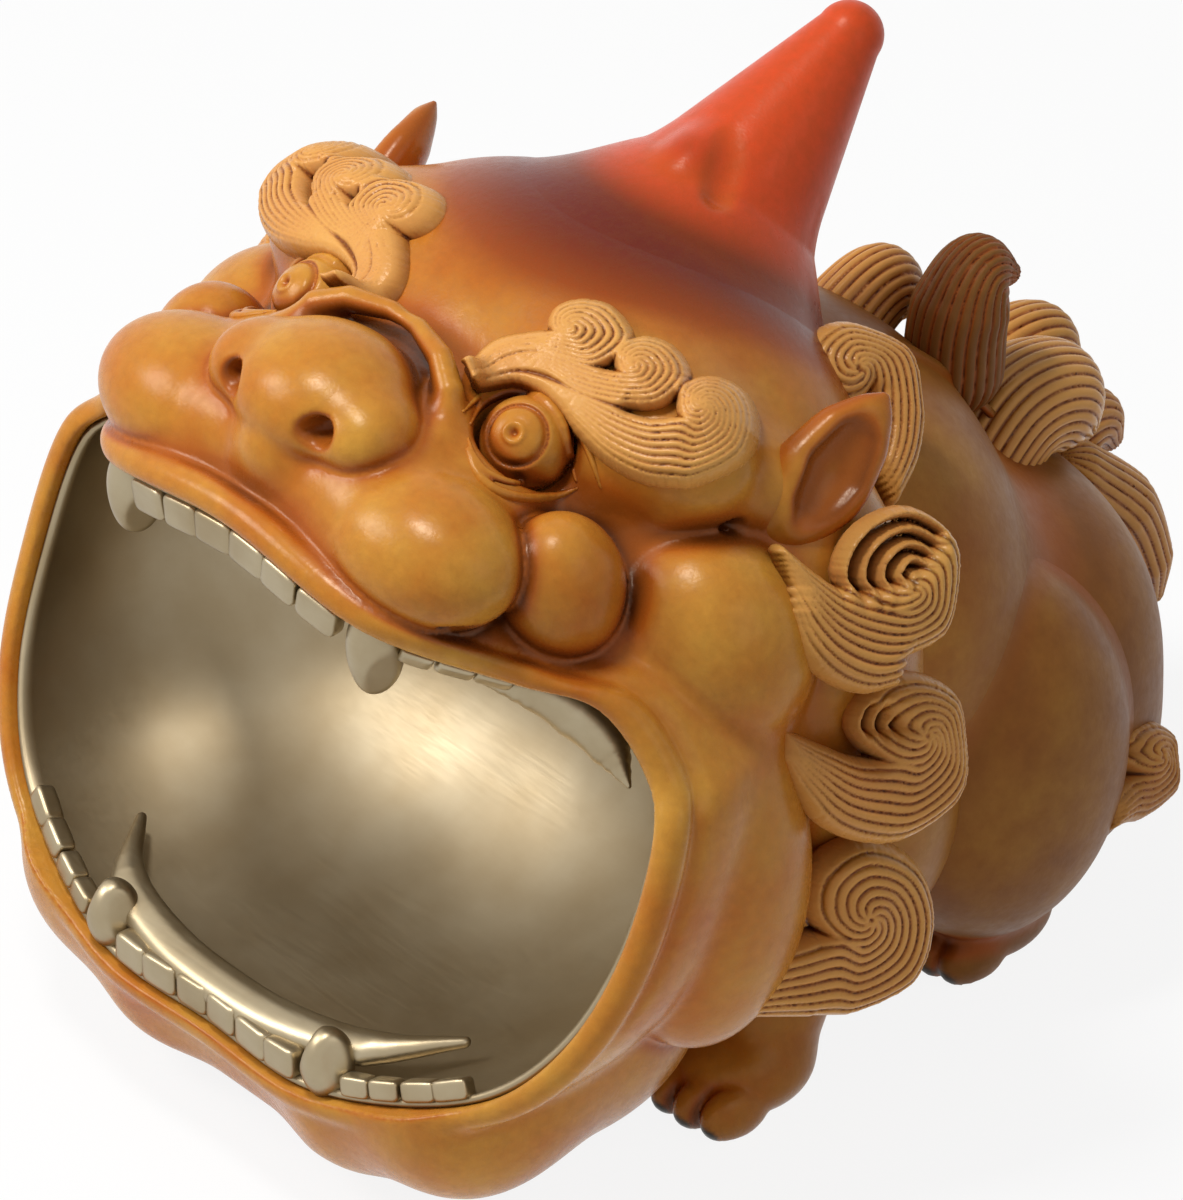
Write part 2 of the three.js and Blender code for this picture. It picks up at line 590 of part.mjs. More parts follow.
// Head casting, as lumps, and its hollow
const HOLLOWED = [SKULL, FACE, JAW];
const PAIRED = [
  BROW_RIDGE, UPPER_CHEEK, LOWER_CHEEK, MUZZLE, SIDE_LOBE, NOSE_WING, EAR_BASE, MANE_BASE,
];
function noseFold(grow) {
  const half = [[21, 40, 162], [24, 44, 166], [21.5, 46, 172], [14, 48, 175]];
  const path = [
    ...half.map((at) => place(at)), vec(0, 50, 175), ...half.map((at) => place(at, -1)).reverse(),
  ];
  const width = path.map(() => NOSE_FOLD_RADIUS);
  return limb(path, width, width, vec(0, 1, 0), grow, 8, 5);
}

function headLumps(grow) {
  const parts = HOLLOWED.map((shape) => lump(shape, 1, grow, 18, 9));
  [1, -1].forEach((side) => PAIRED.forEach((shape) => parts.push(lump(shape, side, grow, 10, 6))));
  parts.push(lump(BRIDGE, 1, grow), lump(NOSE, 1, grow, 12, 6), noseFold(grow));
  return join(parts).subtract(underTable);
}

const headOuter = (grow) => join([headLumps(grow), lips(grow)]);

function hollow(shapes) {
  return join(shapes.map((shape) => lump(shape, 1, -WALL, 12, 6)));
}

function head() {
  const nostrils = [1, -1].map((side) => lump(NOSTRIL, side, 0, 10, 6));
  return join([cut(headLumps(0), [hollow(HOLLOWED), ...nostrils]), lips(0)]);
}

function body() {
  const outer = join([lump(CHEST, 1, 0, 16, 8), lump(RUMP, 1, 0, 16, 8)]).subtract(underTable);
  const floor = block(vec(-REACH, -REACH, TABLE), vec(REACH, REACH, TABLE + FLOOR_THICKNESS));
  const inside = cut(hollow([CHEST, RUMP]), [headOuter(WALL), floor]);
  return cut(outer, [inside, coreOpening()]);
}

// The body's spigot, which the neck socket of the head takes
const alongY = vec(0, 1, 0);
function spigot(grow) {
  const radius = SPIGOT_RADIUS + grow;
  const length = SPIGOT_BACK - SPIGOT_FRONT;
  const profile = [[0, -grow], [radius, -grow], [radius, length], [0, length]];
  return turned(profile, vec(0, SPIGOT_FRONT, NECK_HEIGHT), alongY, 12);
}

// Stud, washer and nut that draw the lining, head and body together
const studFront = BOWL_DEPTH + BOWL_WALL + FIT;
const washerFront = SPIGOT_BACK + FIT;
const nutFront = washerFront + WASHER_THICKNESS + FIT;
const studLength = nutFront + NUT_THICKNESS + STUD_END - studFront;
const onNeckAxis = (y) => vec(0, y, NECK_HEIGHT);

function stud(grow) {
  const radius = STUD_RADIUS + grow;
  const foot = STUD_FOOT_RADIUS + grow;
  const profile = [
    [0, -grow], [foot, -grow], [foot, STUD_FOOT_THICKNESS + grow],
    [radius, STUD_FOOT_THICKNESS + grow], [radius, studLength + grow], [0, studLength + grow],
  ];
  return turned(profile, onNeckAxis(studFront), alongY, 12);
}

function ringProfile(radius, thickness) {
  const bore = STUD_RADIUS + FIT;
  return [[bore, 0], [radius, 0], [radius, thickness], [bore, thickness], [bore, 0]];
}

function washer() {
  return turned(ringProfile(WASHER_RADIUS, WASHER_THICKNESS), onNeckAxis(washerFront), alongY, 12);
}

function nut() {
  return turned(ringProfile(NUT_RADIUS, NUT_THICKNESS), onNeckAxis(nutFront), alongY, 6);
}

// Base plate over the core opening, and its countersunk screws
function oval(halfWidth, halfDepth, low, high) {
  const geometry = new THREE.CylinderGeometry(1, 1, high - low, 24);
  geometry.rotateX(Math.PI / 2).scale(halfWidth, halfDepth, 1);
  return solidOf(geometry.translate(0, PLATE_MIDDLE, (low + high) / 2));
}

const basePlate = (grow) => oval(
  PLATE_HALF_WIDTH + grow, PLATE_HALF_DEPTH + grow, TABLE - grow, TABLE + PLATE_THICKNESS + grow);
const coreOpening = () => oval(
  PLATE_HALF_WIDTH - PLATE_LEDGE, PLATE_HALF_DEPTH - PLATE_LEDGE,
  TABLE - WALL, TABLE + FLOOR_THICKNESS + WALL);

function screw(turn, grow) {
  const across = Math.cos(turn) * (PLATE_HALF_WIDTH - SCREW_INSET);
  const back = PLATE_MIDDLE + Math.sin(turn) * (PLATE_HALF_DEPTH - SCREW_INSET);
  const radius = SCREW_RADIUS + grow;
  const head = SCREW_HEAD_RADIUS + grow;
  const profile = [
    [0, -grow], [head, -grow], [radius, SCREW_HEAD_HEIGHT + grow], [radius, SCREW_LENGTH + grow],
    [0, SCREW_LENGTH + grow],
  ];
  return turned(profile, vec(across, back, TABLE), vec(0, 0, 1), 8);
}

// Finishes
const finish = (color, roughness, metalness) => () => new THREE.MeshStandardMaterial({
  color, roughness, metalness,
});
const ochre = finish(0xb27a35, 0.45, 0.35);
const red = finish(0x8f3a1c, 0.4, 0.3);
const champagne = finish(0xc7b28a, 0.3, 0.9);
const steel = finish(0x9a9a98, 0.35, 1);

// A round peg from inside a casting into the wall that the casting sits on
function peg(from, inward, grow, radius = PEG_RADIUS, reach = PEG_REACH) {
  const profile = [[0, -grow], [radius + grow, -grow], [radius + grow, reach + grow], [0, reach + grow]];
  return turned(profile, from, inward.clone().normalize(), 5);
}

function lockPeg({ at, facing, up }, side, grow) {
  const plane = planeAt(at, facing, up, side);
  return peg(plane.point(0, 0, LOCK_THICKNESS / 2), plane.out.clone().negate(), grow);
}

function hornTenon(grow) {
  const foot = place(HORN_FOOT);
  const axis = place(HORN_TIP).sub(foot).normalize();
  const top = foot.clone().addScaledVector(axis, HORN_TENON);
  return peg(top, axis.negate(), grow, HORN_TENON_RADIUS, 2 * HORN_TENON);
}

// The teeth, fangs and gum, each trimmed to the lining's inner face
const sides = [["left", 1], ["right", -1]];
const mouthPieces = [];
const addTooth = (name, shape) => mouthPieces.push({ name, shape });
for (const [word, side] of sides) {
  addTooth(`lower_fang_${word}`, (grow) => fang({
    across: side * LOWER_FANG_ACROSS, upper: false, height: LOWER_FANG_HEIGHT, radius: LOWER_FANG_RADIUS,
  }, grow));
  addTooth(`upper_fang_${word}`, (grow) => fang({
    across: side * UPPER_FANG_ACROSS, upper: true, height: UPPER_FANG_HEIGHT, radius: UPPER_FANG_RADIUS,
  }, grow));
  addTooth(`tusk_${word}`, (grow) => tusk(side, grow));
  addTooth(`lower_side_teeth_${word}`, (grow) => teeth(lowerSideTeeth(side), grow));
  addTooth(`upper_side_teeth_${word}`, (grow) => teeth(upperSideTeeth(side), grow));
}
addTooth("lower_front_teeth", (grow) => teeth(LOWER_FRONT_TEETH, grow));
addTooth("upper_front_teeth", (grow) => teeth(UPPER_FRONT_TEETH, grow));
addTooth("lower_gum", gum);

// The fasteners and castings, in the order in which they are fitted:
// each keeps clear of all that come before it, and takes the pegs of those that come after.
const castings = [];
const add = (name, material, shape, more = {}) => castings.push({ name, material, shape, ...more });

add("bowl_stud", steel, stud);
add("stud_washer", steel, washer);
add("stud_nut", steel, nut);
[1, 3, 5, 7].forEach((eighth, i) => {
  add(`base_screw_${i + 1}`, steel, (grow) => screw((eighth * Math.PI) / 4, grow));
});
add("mouth_bowl", champagne, (grow) => mouthSpace(BOWL_WALL + grow), { own: bowl });
for (const [word, side] of sides) add(`eye_${word}`, ochre, (grow) => lump(EYE, side, grow, 10, 7));
add("head_shell", ochre, headOuter, { own: head });
add("base_plate", ochre, basePlate);
add("body_shell", ochre, (grow) => join([lump(CHEST, 1, grow, 16, 8), lump(RUMP, 1, grow, 16, 8)]), {
  own: body, pegs: spigot,
});
add("horn", red, horn, { pegs: hornTenon });
for (const [word, side] of sides) {
  const browMiddle = place(BROW_CURLS[1], side)
    .addScaledVector(place(BROW_FACING, side), 0.6 * BROW_THICKNESS);
  add(`brow_${word}`, ochre, (grow) => brow(side, grow), {
    pegs: (grow) => peg(browMiddle, place(BROW_FACING, -side).multiply(vec(1, -1, -1)), grow),
  });
  add(`ear_${word}`, ochre, (grow) => earLeaf(side, grow), {
    own: () => earLeaf(side, 0).subtract(earHollow(side)),
    pegs: (grow) => peg(earStem(side), place(EAR_FACING, side).negate(), grow),
  });
}
MANE.forEach((shape, i) => sides.forEach(([word, side]) => {
  add(`mane_lock_${word}_${i + 1}`, ochre, (grow) => lock(shape, side, grow), {
    pegs: (grow) => lockPeg(shape, side, grow),
  });
}));
for (const [word, side] of sides) {
  const inward = vec(-side, 0, 0);
  const legPeg = ({ at, radii }) => (grow) => peg(
    place(at, side).addScaledVector(inward, -0.6 * radii[0]), inward, grow);
  add(`front_leg_${word}`, ochre, (grow) => frontLeg(side, grow), { pegs: legPeg(SHOULDER) });
  add(`hind_leg_${word}`, ochre, (grow) => hindLeg(side, grow), { pegs: legPeg(THIGH) });
}
BACK_LOCKS.forEach((shape, i) => {
  add(`back_lock_${i + 1}`, ochre, (grow) => backLock(shape, grow), {
    pegs: (grow) => peg(spineOf(shape)[shape.pegged], BACK_LOCK_INWARD, grow),
  });
});
for (const [word, side] of sides) {
  add(`hock_curl_${word}`, ochre, (grow) => lock(HOCK, side, grow), {
    pegs: (grow) => lockPeg(HOCK, side, grow),
  });
}

// Assembly, with the origin under the middle of the whole statue
const statue = new THREE.Group();
const inLining = mouthSpace(-FIT);
const fittedTeeth = [];
for (const { name, shape } of mouthPieces) {
  const solid = cut(shape(0).intersect(inLining), fittedTeeth);
  statue.add(meshOf(name, solid, champagne));
  fittedTeeth.push(shape(FIT));
}
const fitted = [];
for (const { name, material, shape, own, pegs } of castings) {
  const bare = cut(own ? own() : shape(0), fitted);
  const whole = pegs ? bare.add(pegs(0)) : bare;
  const others = castings.filter((other) => other.pegs && other.name !== name);
  const holes = [stud(FIT), ...others.map((other) => other.pegs(FIT))];
  const solid = material === steel ? whole : cut(whole, holes);
  statue.add(meshOf(name, solid, material));
  fitted.push(shape(FIT));
}
const box = new THREE.Box3().setFromObject(statue);
const middle = box.getCenter(vec());
statue.position.set(-middle.x, -middle.y, -box.min.z);

export default statue;
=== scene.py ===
import math
import bpy
import numpy as np
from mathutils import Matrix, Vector


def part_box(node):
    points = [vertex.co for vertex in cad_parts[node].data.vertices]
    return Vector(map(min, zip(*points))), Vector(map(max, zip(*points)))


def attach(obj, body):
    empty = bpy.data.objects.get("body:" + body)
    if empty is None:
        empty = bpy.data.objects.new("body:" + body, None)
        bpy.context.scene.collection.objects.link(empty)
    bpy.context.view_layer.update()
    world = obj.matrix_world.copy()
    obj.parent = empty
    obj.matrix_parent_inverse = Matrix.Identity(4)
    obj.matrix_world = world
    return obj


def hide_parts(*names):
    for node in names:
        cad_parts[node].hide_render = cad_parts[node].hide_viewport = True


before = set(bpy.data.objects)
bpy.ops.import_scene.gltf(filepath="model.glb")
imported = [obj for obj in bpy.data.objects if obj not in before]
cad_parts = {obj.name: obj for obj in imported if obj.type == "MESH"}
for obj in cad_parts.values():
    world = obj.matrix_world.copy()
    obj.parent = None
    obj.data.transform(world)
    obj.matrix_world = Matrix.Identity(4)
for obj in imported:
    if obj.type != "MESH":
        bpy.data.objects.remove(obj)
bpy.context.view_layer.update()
print("frame:", len(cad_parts), "castings")

# The carving is laid out in millimetres: depths run back from the lower lip, heights up from the table.
layout = {"plateMiddle": 180.0, "tableGap": 0.02}
plateLow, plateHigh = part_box("base_plate")
backShift = layout["plateMiddle"] - 1000 * (plateLow.y + plateHigh.y) / 2


def toFrame(points):
    moved = np.array(points, np.float64).reshape(-1, 3)
    moved[:, 1] -= backShift
    return moved / 1000


def unit(v):
    v = np.asarray(v, np.float64)
    return v / np.linalg.norm(v)


# The side that the photograph looks from: relief is drawn across and up that view
sight = unit((0.635, -0.533, 0.559))
viewRight = unit((0.643, 0.766, 0.0))
viewUp = np.cross(sight, viewRight)
sighting = {"reach": 40, "step": 0.1}


def localFrame(at, facing):
    out = unit(facing)
    rise = unit(viewUp - viewUp @ out * out)
    return np.asarray(at, np.float64), (np.cross(rise, out), rise, out)


def drawnIn(place, x, y, lift=0.0):
    out = place[1][2]
    spot = (x - lift * (out @ viewRight)) * viewRight + (y - lift * (out @ viewUp)) * viewUp
    spot = spot - sight * (spot @ out) / (sight @ out)
    return np.array([spot @ place[1][0], spot @ place[1][1], lift])


def tapered(sizes, count):
    return np.interp(np.linspace(0, len(sizes) - 1, count + 1), range(len(sizes)), sizes)


# A drawing laid on a skin: each spot is followed along the line of sight until it meets the skin
def laidOn(field, at, drawn):
    spots = []
    depths = np.arange(-sighting["reach"], sighting["reach"], sighting["step"])
    for x, y in drawn:
        start = np.asarray(at) + x * viewRight + y * viewUp
        line = start[:, None] - np.outer(sight, depths)
        spots.append(line[:, np.argmax(field([line[0], line[1], line[2]]) < 0)])
    return np.array(spots)


def toLocal(p, place):
    q = [p[i] - place[0][i] for i in range(3)]
    return [sum(q[i] * axis[i] for i in range(3)) for axis in place[1]]


def boxRound(points, margin):
    return np.min(points, 0) - margin, np.max(points, 0) + margin


def farFrom(p, at):
    return np.sqrt(sum((p[i] - at[i]) ** 2 for i in range(3)))


# Rounded forms as distance fields. p is three arrays x, y, z.
def ball(p, at, radii):
    q = [(p[i] - at[i]) / radii[i] for i in range(3)]
    k0 = np.sqrt(q[0] ** 2 + q[1] ** 2 + q[2] ** 2)
    k1 = np.sqrt((q[0] / radii[0]) ** 2 + (q[1] / radii[1]) ** 2 + (q[2] / radii[2]) ** 2)
    return k0 * (k0 - 1) / np.maximum(k1, 1e-6)


def squareBall(p, at, radii, square):
    q = [np.maximum(np.abs(p[i] - at[i]) / radii[i], 1e-4) for i in range(3)]
    f = (q[0] ** square + q[1] ** square + q[2] ** square) ** (1 / square)
    g = np.sqrt(sum((q[i] ** (square - 1) / radii[i]) ** 2 for i in range(3))) * f ** (1 - square)
    return (f - 1) / np.maximum(g, 1e-6)


def rope(p, points, radii):
    best = None
    for a, b, ra, rb in zip(points[:-1], points[1:], radii[:-1], radii[1:]):
        d = [b[i] - a[i] for i in range(3)]
        q = [p[i] - a[i] for i in range(3)]
        t = np.clip((q[0] * d[0] + q[1] * d[1] + q[2] * d[2]) / (d[0] ** 2 + d[1] ** 2 + d[2] ** 2), 0, 1)
        far = np.sqrt(sum((q[i] - t * d[i]) ** 2 for i in range(3))) - (ra + t * (rb - ra))
        best = far if best is None else np.minimum(best, far)
    return best


def melt(a, b, k):
    h = np.maximum(k - np.abs(a - b), 0) / k
    return np.minimum(a, b) - h * h * k / 4


def carve(a, b, k):
    return -melt(-a, b, k)


def onTable(d, p):
    return np.maximum(d, layout["tableGap"] - p[2])


def ease(x, low, high):
    t = np.clip((x - low) / (high - low), 0, 1)
    return t * t * (3 - 2 * t)


def smoothPath(points, count, closed=False):
    points = np.asarray(points, np.float64)
    n = len(points)
    spans = n if closed else n - 1
    out = []
    for i in range(count if closed else count + 1):
        spot = i * spans / count
        k = min(int(spot), spans - 1)
        w = spot - k
        if closed:
            p0, p1, p2, p3 = (points[(k + j) % n] for j in (-1, 0, 1, 2))
        else:
            p1, p2 = points[k], points[k + 1]
            p0 = points[k - 1] if k > 0 else 2 * p1 - p2
            p3 = points[k + 2] if k + 2 < n else 2 * p2 - p1
        d0, d1, d2 = (max(np.linalg.norm(b - a) ** 0.5, 1e-4) for a, b in ((p0, p1), (p1, p2), (p2, p3)))
        t1 = ((p1 - p0) / d0 - (p2 - p0) / (d0 + d1) + (p2 - p1) / d1) * d1
        t2 = ((p2 - p1) / d1 - (p3 - p1) / (d1 + d2) + (p3 - p2) / d2) * d1
        bend = -3 * p1 + 3 * p2 - 2 * t1 - t2
        twist = 2 * p1 - 2 * p2 + t1 + t2
        out.append(p1 + t1 * w + bend * w ** 2 + twist * w ** 3)
    return np.array(out)


# A skin of quads over a field: a coarse look finds where the surface runs, a fine one follows it.
skinning = {"blocks": 5, "near": 1.3, "coarser": 1.0, "settles": 2, "probe": 0.2,
            "leastSlope": 0.2, "stride": 0.5}
corners = np.array([(i, j, k) for i in (0, 1) for j in (0, 1) for k in (0, 1)])
edges = [(a, b) for a in range(8) for b in range(a + 1, 8) if np.abs(corners[a] - corners[b]).sum() == 1]
rounds = {0: ((0, -1, -1), (0, 0, -1), (0, 0, 0), (0, -1, 0)),
          1: ((-1, 0, -1), (-1, 0, 0), (0, 0, 0), (0, 0, -1)),
          2: ((-1, -1, 0), (0, -1, 0), (0, 0, 0), (-1, 0, 0))}


def gridField(field, low, voxel, counts):
    axes = [np.float32(low[i]) + np.float32(voxel) * np.arange(counts[i], dtype=np.float32) for i in range(3)]
    grid = np.meshgrid(*axes, indexing="ij")
    return field([g.ravel() for g in grid]).reshape(counts).astype(np.float32)


def shifted(corner, counts):
    return tuple(slice(corner[i], corner[i] + counts[i]) for i in range(3))


def spread(grid, count):
    for axis in range(3):
        grid = np.repeat(grid, count, axis=axis)
    return grid


def nearGrid(field, low, high, voxel):
    c = skinning["blocks"]
    blocks = np.ceil((np.asarray(high) - low) / (voxel * c)).astype(int)
    rough = gridField(field, low, voxel * c, blocks + 1)
    near = np.full(blocks, np.inf, np.float32)
    for o in corners:
        near = np.minimum(near, np.abs(rough[shifted(o, blocks)]))
    active = spread(near < voxel * c * skinning["near"], c)
    n = blocks * c + 1
    values = np.ascontiguousarray(spread(rough, c)[:n[0], :n[1], :n[2]])
    wanted = np.zeros(n, bool)
    for o in corners:
        wanted[shifted(o, n - 1)] |= active
    spots = np.nonzero(wanted)
    values[spots] = field([low[i] + np.float32(voxel) * spots[i].astype(np.float32) for i in range(3)])
    return values


def skinOf(field, low, high, voxel):
    voxel = voxel * skinning["coarser"]
    low = np.asarray(low, np.float32)
    values = nearGrid(field, low, high, voxel)
    n = np.array(values.shape)
    inside = values < 0
    total = np.zeros(n - 1, np.uint8)
    for o in corners:
        total += inside[shifted(o, n - 1)]
    cells = np.argwhere((total > 0) & (total < 8))
    at = [values[cells[:, 0] + o[0], cells[:, 1] + o[1], cells[:, 2] + o[2]] for o in corners]
    place = np.zeros((len(cells), 3), np.float32)
    crossings = np.zeros(len(cells), np.float32)
    for a, b in edges:
        cross = (at[a] < 0) != (at[b] < 0)
        t = np.where(cross, at[a] / np.where(cross, at[a] - at[b], 1), 0)
        place += np.where(cross[:, None], corners[a] + t[:, None] * (corners[b] - corners[a]), 0)
        crossings += cross
    verts = low + voxel * (cells + place / crossings[:, None])
    index = np.full(n - 1, -1, np.int64)
    index[tuple(cells.T)] = np.arange(len(cells))
    quads = []
    for axis, ring in rounds.items():
        first = [slice(1, -1)] * 3
        second = [slice(1, -1)] * 3
        first[axis], second[axis] = slice(0, -1), slice(1, None)
        here, there = inside[tuple(first)], inside[tuple(second)]
        for flip in (False, True):
            hit = np.argwhere((here & ~there) if not flip else (~here & there))
            hit = hit + np.array([0 if i == axis else 1 for i in range(3)])
            quad = np.stack([index[hit[:, 0] + o[0], hit[:, 1] + o[1], hit[:, 2] + o[2]] for o in ring], 1)
            quads.append(quad[:, ::-1] if flip else quad)
    return settle(field, verts.astype(np.float32), voxel), np.concatenate(quads)


def slopeOf(field, v, step):
    p = [v[:, 0], v[:, 1], v[:, 2]]
    d = field(p)
    ahead = [field([p[j] + (step if j == i else 0) for j in range(3)]) for i in range(3)]
    return d, np.stack([(a - d) / step for a in ahead], 1)


def settle(field, v, voxel):
    stride = skinning["stride"] * voxel
    for _ in range(skinning["settles"]):
        d, g = slopeOf(field, v, skinning["probe"] * voxel)
        move = np.clip(d / np.maximum((g ** 2).sum(1), skinning["leastSlope"]), -stride, stride)
        v = v - move[:, None] * g
    return v


# How deep a spot lies among what stands close by, a little further off and further still; the colour is
# darkened with it as painted shade
hollows = {"probe": 0.15, "reaches": (1.5, 4.0, 9.0)}


def hollowsOf(field, v):
    _, g = slopeOf(field, v, hollows["probe"])
    g /= np.maximum(np.linalg.norm(g, axis=1), 1e-6)[:, None]
    seen = np.zeros(len(v), np.float32)
    for reach in hollows["reaches"]:
        q = v + g * reach
        seen += np.clip(1 - field([q[:, 0], q[:, 1], q[:, 2]]) / reach, 0, 1) / len(hollows["reaches"])
    return seen


# Patina shades that follow the place on the statue: red at the horn, dark on the crown, and browner towards
# the back and the bottom, partly brown patina and partly painted shade
shading = {"horn": (1.0, 7.0), "crown": (10.0, 32.0), "back": (80, 170), "backTilt": 0.25, "tiltHeight": 60}
horn = {"foot": np.array((0, 123.5, 160.0)), "tip": np.array((0, 166, 195.0)), "radius": 24.5,
        "tipRadius": 7.0, "root": 0.25, "rootSwell": 2, "flare": 16, "sink": 0.35, "middle": 0.3,
        "reach": (52, 62, 62), "box": ((-56, 70, 110), (56, 176, 208)), "voxel": 0.9}
hornAxis = horn["tip"] - horn["foot"]


def hornCone(p):
    return rope(p, [horn["foot"] - horn["root"] * hornAxis, horn["foot"], horn["tip"]],
                [horn["radius"] + horn["rootSwell"], horn["radius"], horn["tipRadius"]])


def patinaOf(v, crowned):
    far = hornCone([v[:, 0], v[:, 1], v[:, 2]])
    red = 1 - ease(far, *shading["horn"])
    crown = 1 - ease(far, *shading["crown"])
    brownAndShade = ease(v[:, 1] + shading["backTilt"] * (shading["tiltHeight"] - v[:, 2]), *shading["back"])
    return {"red": red * crowned, "crown": crown * crowned, "brownAndShade": brownAndShade}


def newObject(name, data):
    made = bpy.data.objects.new(name, data)
    bpy.context.scene.collection.objects.link(made)
    return made


def rawMesh(name, points, faces):
    mesh = bpy.data.meshes.new(name)
    mesh.vertices.add(len(points))
    mesh.vertices.foreach_set("co", np.ascontiguousarray(points, np.float32).ravel())
    mesh.loops.add(faces.size)
    mesh.loops.foreach_set("vertex_index", np.ascontiguousarray(faces, np.int32).ravel())
    mesh.polygons.add(len(faces))
    mesh.polygons.foreach_set("loop_start", np.arange(0, faces.size, faces.shape[1], dtype=np.int32))
    mesh.update(calc_edges=True)
    return mesh


def newMesh(name, verts, faces, marks, flip=False, crowned=0):
    verts = np.array(verts, np.float64)
    if flip:
        verts[:, 0] *= -1
        faces = faces[:, ::-1]
    mesh = rawMesh(name, toFrame(verts), faces)
    for key, values in {**patinaOf(verts, crowned), **marks}.items():
        mark = mesh.attributes.new(key, "FLOAT", "POINT")
        mark.data.foreach_set("value", np.asarray(values, np.float32))
    mesh.shade_smooth()
    return mesh


def newPiece(name, node, finish, mesh):
    material, slot = finish
    piece = newObject(name, mesh)
    if not mesh.materials:
        mesh.materials.append(material)
    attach(piece, "root")
    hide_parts(node)
    print("piece:", name, len(mesh.polygons), "faces")


def thinned(verts, quads, share):
    rough = newObject("rough", rawMesh("rough", verts, quads))
    thin = rough.modifiers.new("thin", "DECIMATE")
    thin.ratio = share
    thin.use_collapse_triangulate = True
    made = bpy.data.meshes.new_from_object(rough.evaluated_get(bpy.context.evaluated_depsgraph_get()))
    bpy.data.objects.remove(rough)
    made.calc_loop_triangles()
    points = np.empty(len(made.vertices) * 3, np.float32)
    made.vertices.foreach_get("co", points)
    faces = np.empty(len(made.loop_triangles) * 3, np.int32)
    made.loop_triangles.foreach_get("vertices", faces)
    bpy.data.meshes.remove(made)
    return points.reshape(-1, 3), faces.reshape(-1, 3)


def carved(field, box, voxel, marker=None, share=1):
    verts, faces = skinOf(field, *box, voxel)
    if share < 1:
        verts, faces = thinned(verts, faces, share)
    marks = {"cavityShade": hollowsOf(field, verts)}
    marks.update({key: np.zeros(len(verts)) for key in ("grooveShade", "hair", "claw")})
    if marker:
        marks.update(marker([verts[:, 0], verts[:, 1], verts[:, 2]]))
    return verts, faces, marks


def carvedPiece(name, node, finish, field, box, voxel, marker=None, share=1, crowned=0):
    shape = carved(field, box, voxel, marker, share)
    newPiece(name, node, finish, newMesh(name, *shape, crowned=crowned))


def carvedPair(name, node, finish, field, box, voxel, marker=None):
    shape = carved(field, box, voxel, marker)
    for word, flip in (("left", False), ("right", True)):
        newPiece(name + "." + word, node % word, finish, newMesh(name + "." + word, *shape, flip))


# Node helpers for the finishes
def feed(socket, value):
    if isinstance(value, bpy.types.NodeSocket):
        socket.id_data.links.new(value, socket)
    else:
        socket.default_value = value


def nodesOf(tree):
    def add(kind, inputs=None, **settings):
        node = tree.nodes.new(kind)
        for key, value in settings.items():
            setattr(node, key, value)
        for key, value in (inputs or {}).items():
            feed(node.inputs[key], value)
        return node
    return add


def newGroup(name, kind, inputs, outputs):
    group = bpy.data.node_groups.new(name, kind)
    for way, sockets in (("INPUT", inputs), ("OUTPUT", outputs)):
        for label, socket in sockets.items():
            group.interface.new_socket(label, in_out=way, socket_type=socket)
    add = nodesOf(group)
    return group, add, add("NodeGroupInput").outputs, add("NodeGroupOutput").inputs


def linear(*shades):
    return tuple(((c / 255 + 0.055) / 1.055) ** 2.4 if c > 10 else c / 255 / 12.92 for c in shades) + (1.0,)


def mixColour(add, share, a, b):
    return add("ShaderNodeMix", {0: share, 6: a, 7: b}, data_type="RGBA", blend_type="MIX").outputs[2]


def span(add, value, low, high, toLow=0.0, toHigh=1.0):
    node = add("ShaderNodeMapRange", {0: value, 1: low, 2: high, 3: toLow, 4: toHigh}, clamp=True)
    return node.outputs[0]


def times(add, a, b, operation="MULTIPLY"):
    return add("ShaderNodeMath", {0: a, 1: b}, operation=operation).outputs[0]


# Cloudy patina over any casting: large clouds and fine stipple
def patinaClouds():
    group, add, given, made = newGroup(
        "patinaClouds", "ShaderNodeTree",
        {"Position": "NodeSocketVector", "Cloud Size": "NodeSocketFloat", "Stipple Size": "NodeSocketFloat"},
        {"Clouds": "NodeSocketFloat", "Stipple": "NodeSocketFloat"})
    clouds = add("ShaderNodeTexNoise", {"Vector": given["Position"], "Scale": given["Cloud Size"],
                                        "Detail": 5.0, "Roughness": 0.6})
    stipple = add("ShaderNodeTexNoise", {"Vector": given["Position"], "Scale": given["Stipple Size"],
                                         "Detail": 3.0, "Roughness": 0.65})
    feed(made["Clouds"], span(add, clouds.outputs["Fac"], 0.3, 0.7))
    feed(made["Stipple"], span(add, stipple.outputs["Fac"], 0.3, 0.7))
    return group


# Fine brush lines on the bright metal
def brushLines():
    group, add, given, made = newGroup(
        "brushLines", "ShaderNodeTree",
        {"Position": "NodeSocketVector", "Across": "NodeSocketFloat", "Along": "NodeSocketFloat"},
        {"Lines": "NodeSocketFloat", "Blotches": "NodeSocketFloat"})
    stretch = add("ShaderNodeCombineXYZ", {0: given["Along"], 1: given["Across"], 2: given["Across"]})
    scaled = add("ShaderNodeVectorMath", {0: given["Position"], 1: stretch.outputs[0]}, operation="MULTIPLY")
    lines = add("ShaderNodeTexNoise", {"Vector": scaled.outputs[0], "Scale": 1.0, "Detail": 3.0})
    blotches = add("ShaderNodeTexNoise", {"Vector": given["Position"], "Scale": 55.0, "Detail": 4.0})
    feed(made["Lines"], lines.outputs["Fac"])
    feed(made["Blotches"], blotches.outputs["Fac"])
    return group


cloudGroup = patinaClouds()
brushGroup = brushLines()


def newMaterial(name):
    material = bpy.data.materials.new(name)
    material.use_nodes = True
    material.node_tree.nodes.clear()
    add = nodesOf(material.node_tree)
    shader = add("ShaderNodeBsdfPrincipled")
    out = add("ShaderNodeOutputMaterial", {"Surface": shader.outputs[0]})
    return material, add, shader, out


